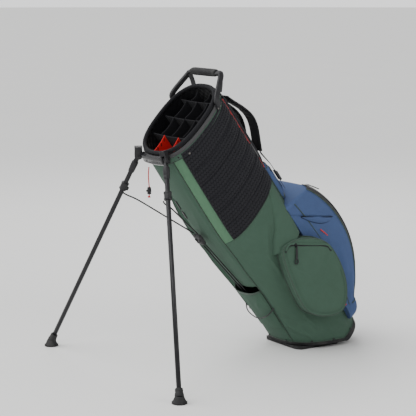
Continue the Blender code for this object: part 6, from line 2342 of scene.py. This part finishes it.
class StandBagBase(bpy.types.Operator):
    """Moulds the base tray and the hinged foot plate"""

    bl_idname = "stand_bag.base"
    bl_label = "Base"

    def execute(self, context):
        build_base()
        return {"FINISHED"}


class StandBagBallPocket(bpy.types.Operator):
    """Sews the blue pocket with its arched zip"""

    bl_idname = "stand_bag.ball_pocket"
    bl_label = "Ball pocket"

    def execute(self, context):
        build_ball_pocket(context.scene.stand_bag_sewing)
        return {"FINISHED"}


class StandBagSidePocket(bpy.types.Operator):
    """Sews the D-shaped pocket on the right"""

    bl_idname = "stand_bag.side_pocket"
    bl_label = "Side pocket"

    def execute(self, context):
        build_side_pocket(context.scene.stand_bag_sewing)
        return {"FINISHED"}


class StandBagGarmentPocket(bpy.types.Operator):
    """Sews the long pocket on the left"""

    bl_idname = "stand_bag.garment_pocket"
    bl_label = "Garment pocket"

    def execute(self, context):
        build_apparel_pocket(context.scene.stand_bag_sewing)
        return {"FINISHED"}


class StandBagBack(bpy.types.Operator):
    """Pads the back, the straps and the cool pouch"""

    bl_idname = "stand_bag.back"
    bl_label = "Carrying side"

    def execute(self, context):
        build_back(context.scene.stand_bag_sewing)
        return {"FINISHED"}


OPERATORS = (
    StandBagFinishes,
    StandBagStage,
    StandBagCords,
    StandBagShell,
    StandBagSideMesh,
    StandBagSeams,
    StandBagCuff,
    StandBagDividers,
    StandBagHandle,
    StandBagLegs,
    StandBagSockets,
    StandBagLinkage,
    StandBagBase,
    StandBagBallPocket,
    StandBagSidePocket,
    StandBagGarmentPocket,
    StandBagBack,
)


class StandBagPanel(bpy.types.Panel):
    """Lists the sizes, the colours and the steps of the stand bag"""

    bl_idname = "VIEW3D_PT_stand_bag"
    bl_label = "Stand bag"
    bl_space_type = "VIEW_3D"
    bl_region_type = "UI"
    bl_category = "Stand bag"

    def draw(self, context):
        for group in (context.scene.stand_bag_colours, context.scene.stand_bag_sewing,
                      context.scene.stand_bag_hardware):
            box = self.layout.box()
            for label in group.bl_rna.properties.keys():
                if label not in {"rna_type", "name"}:
                    box.prop(group, label)
        for step in OPERATORS:
            self.layout.operator(step.bl_idname)


CLASSES = (StandBagColours, StandBagSewing, StandBagHardware, *OPERATORS, StandBagPanel)


def register():
    for made in CLASSES:
        bpy.utils.register_class(made)
    bpy.types.Scene.stand_bag_colours = bpy.props.PointerProperty(type=StandBagColours)
    bpy.types.Scene.stand_bag_sewing = bpy.props.PointerProperty(type=StandBagSewing)
    bpy.types.Scene.stand_bag_hardware = bpy.props.PointerProperty(type=StandBagHardware)


def unregister():
    del bpy.types.Scene.stand_bag_hardware
    del bpy.types.Scene.stand_bag_sewing
    del bpy.types.Scene.stand_bag_colours
    for made in reversed(CLASSES):
        bpy.utils.unregister_class(made)


def main():
    register()
    for step in OPERATORS:
        getattr(bpy.ops.stand_bag, step.bl_idname.split(".")[1])()


if __name__ == "__main__":
    main()
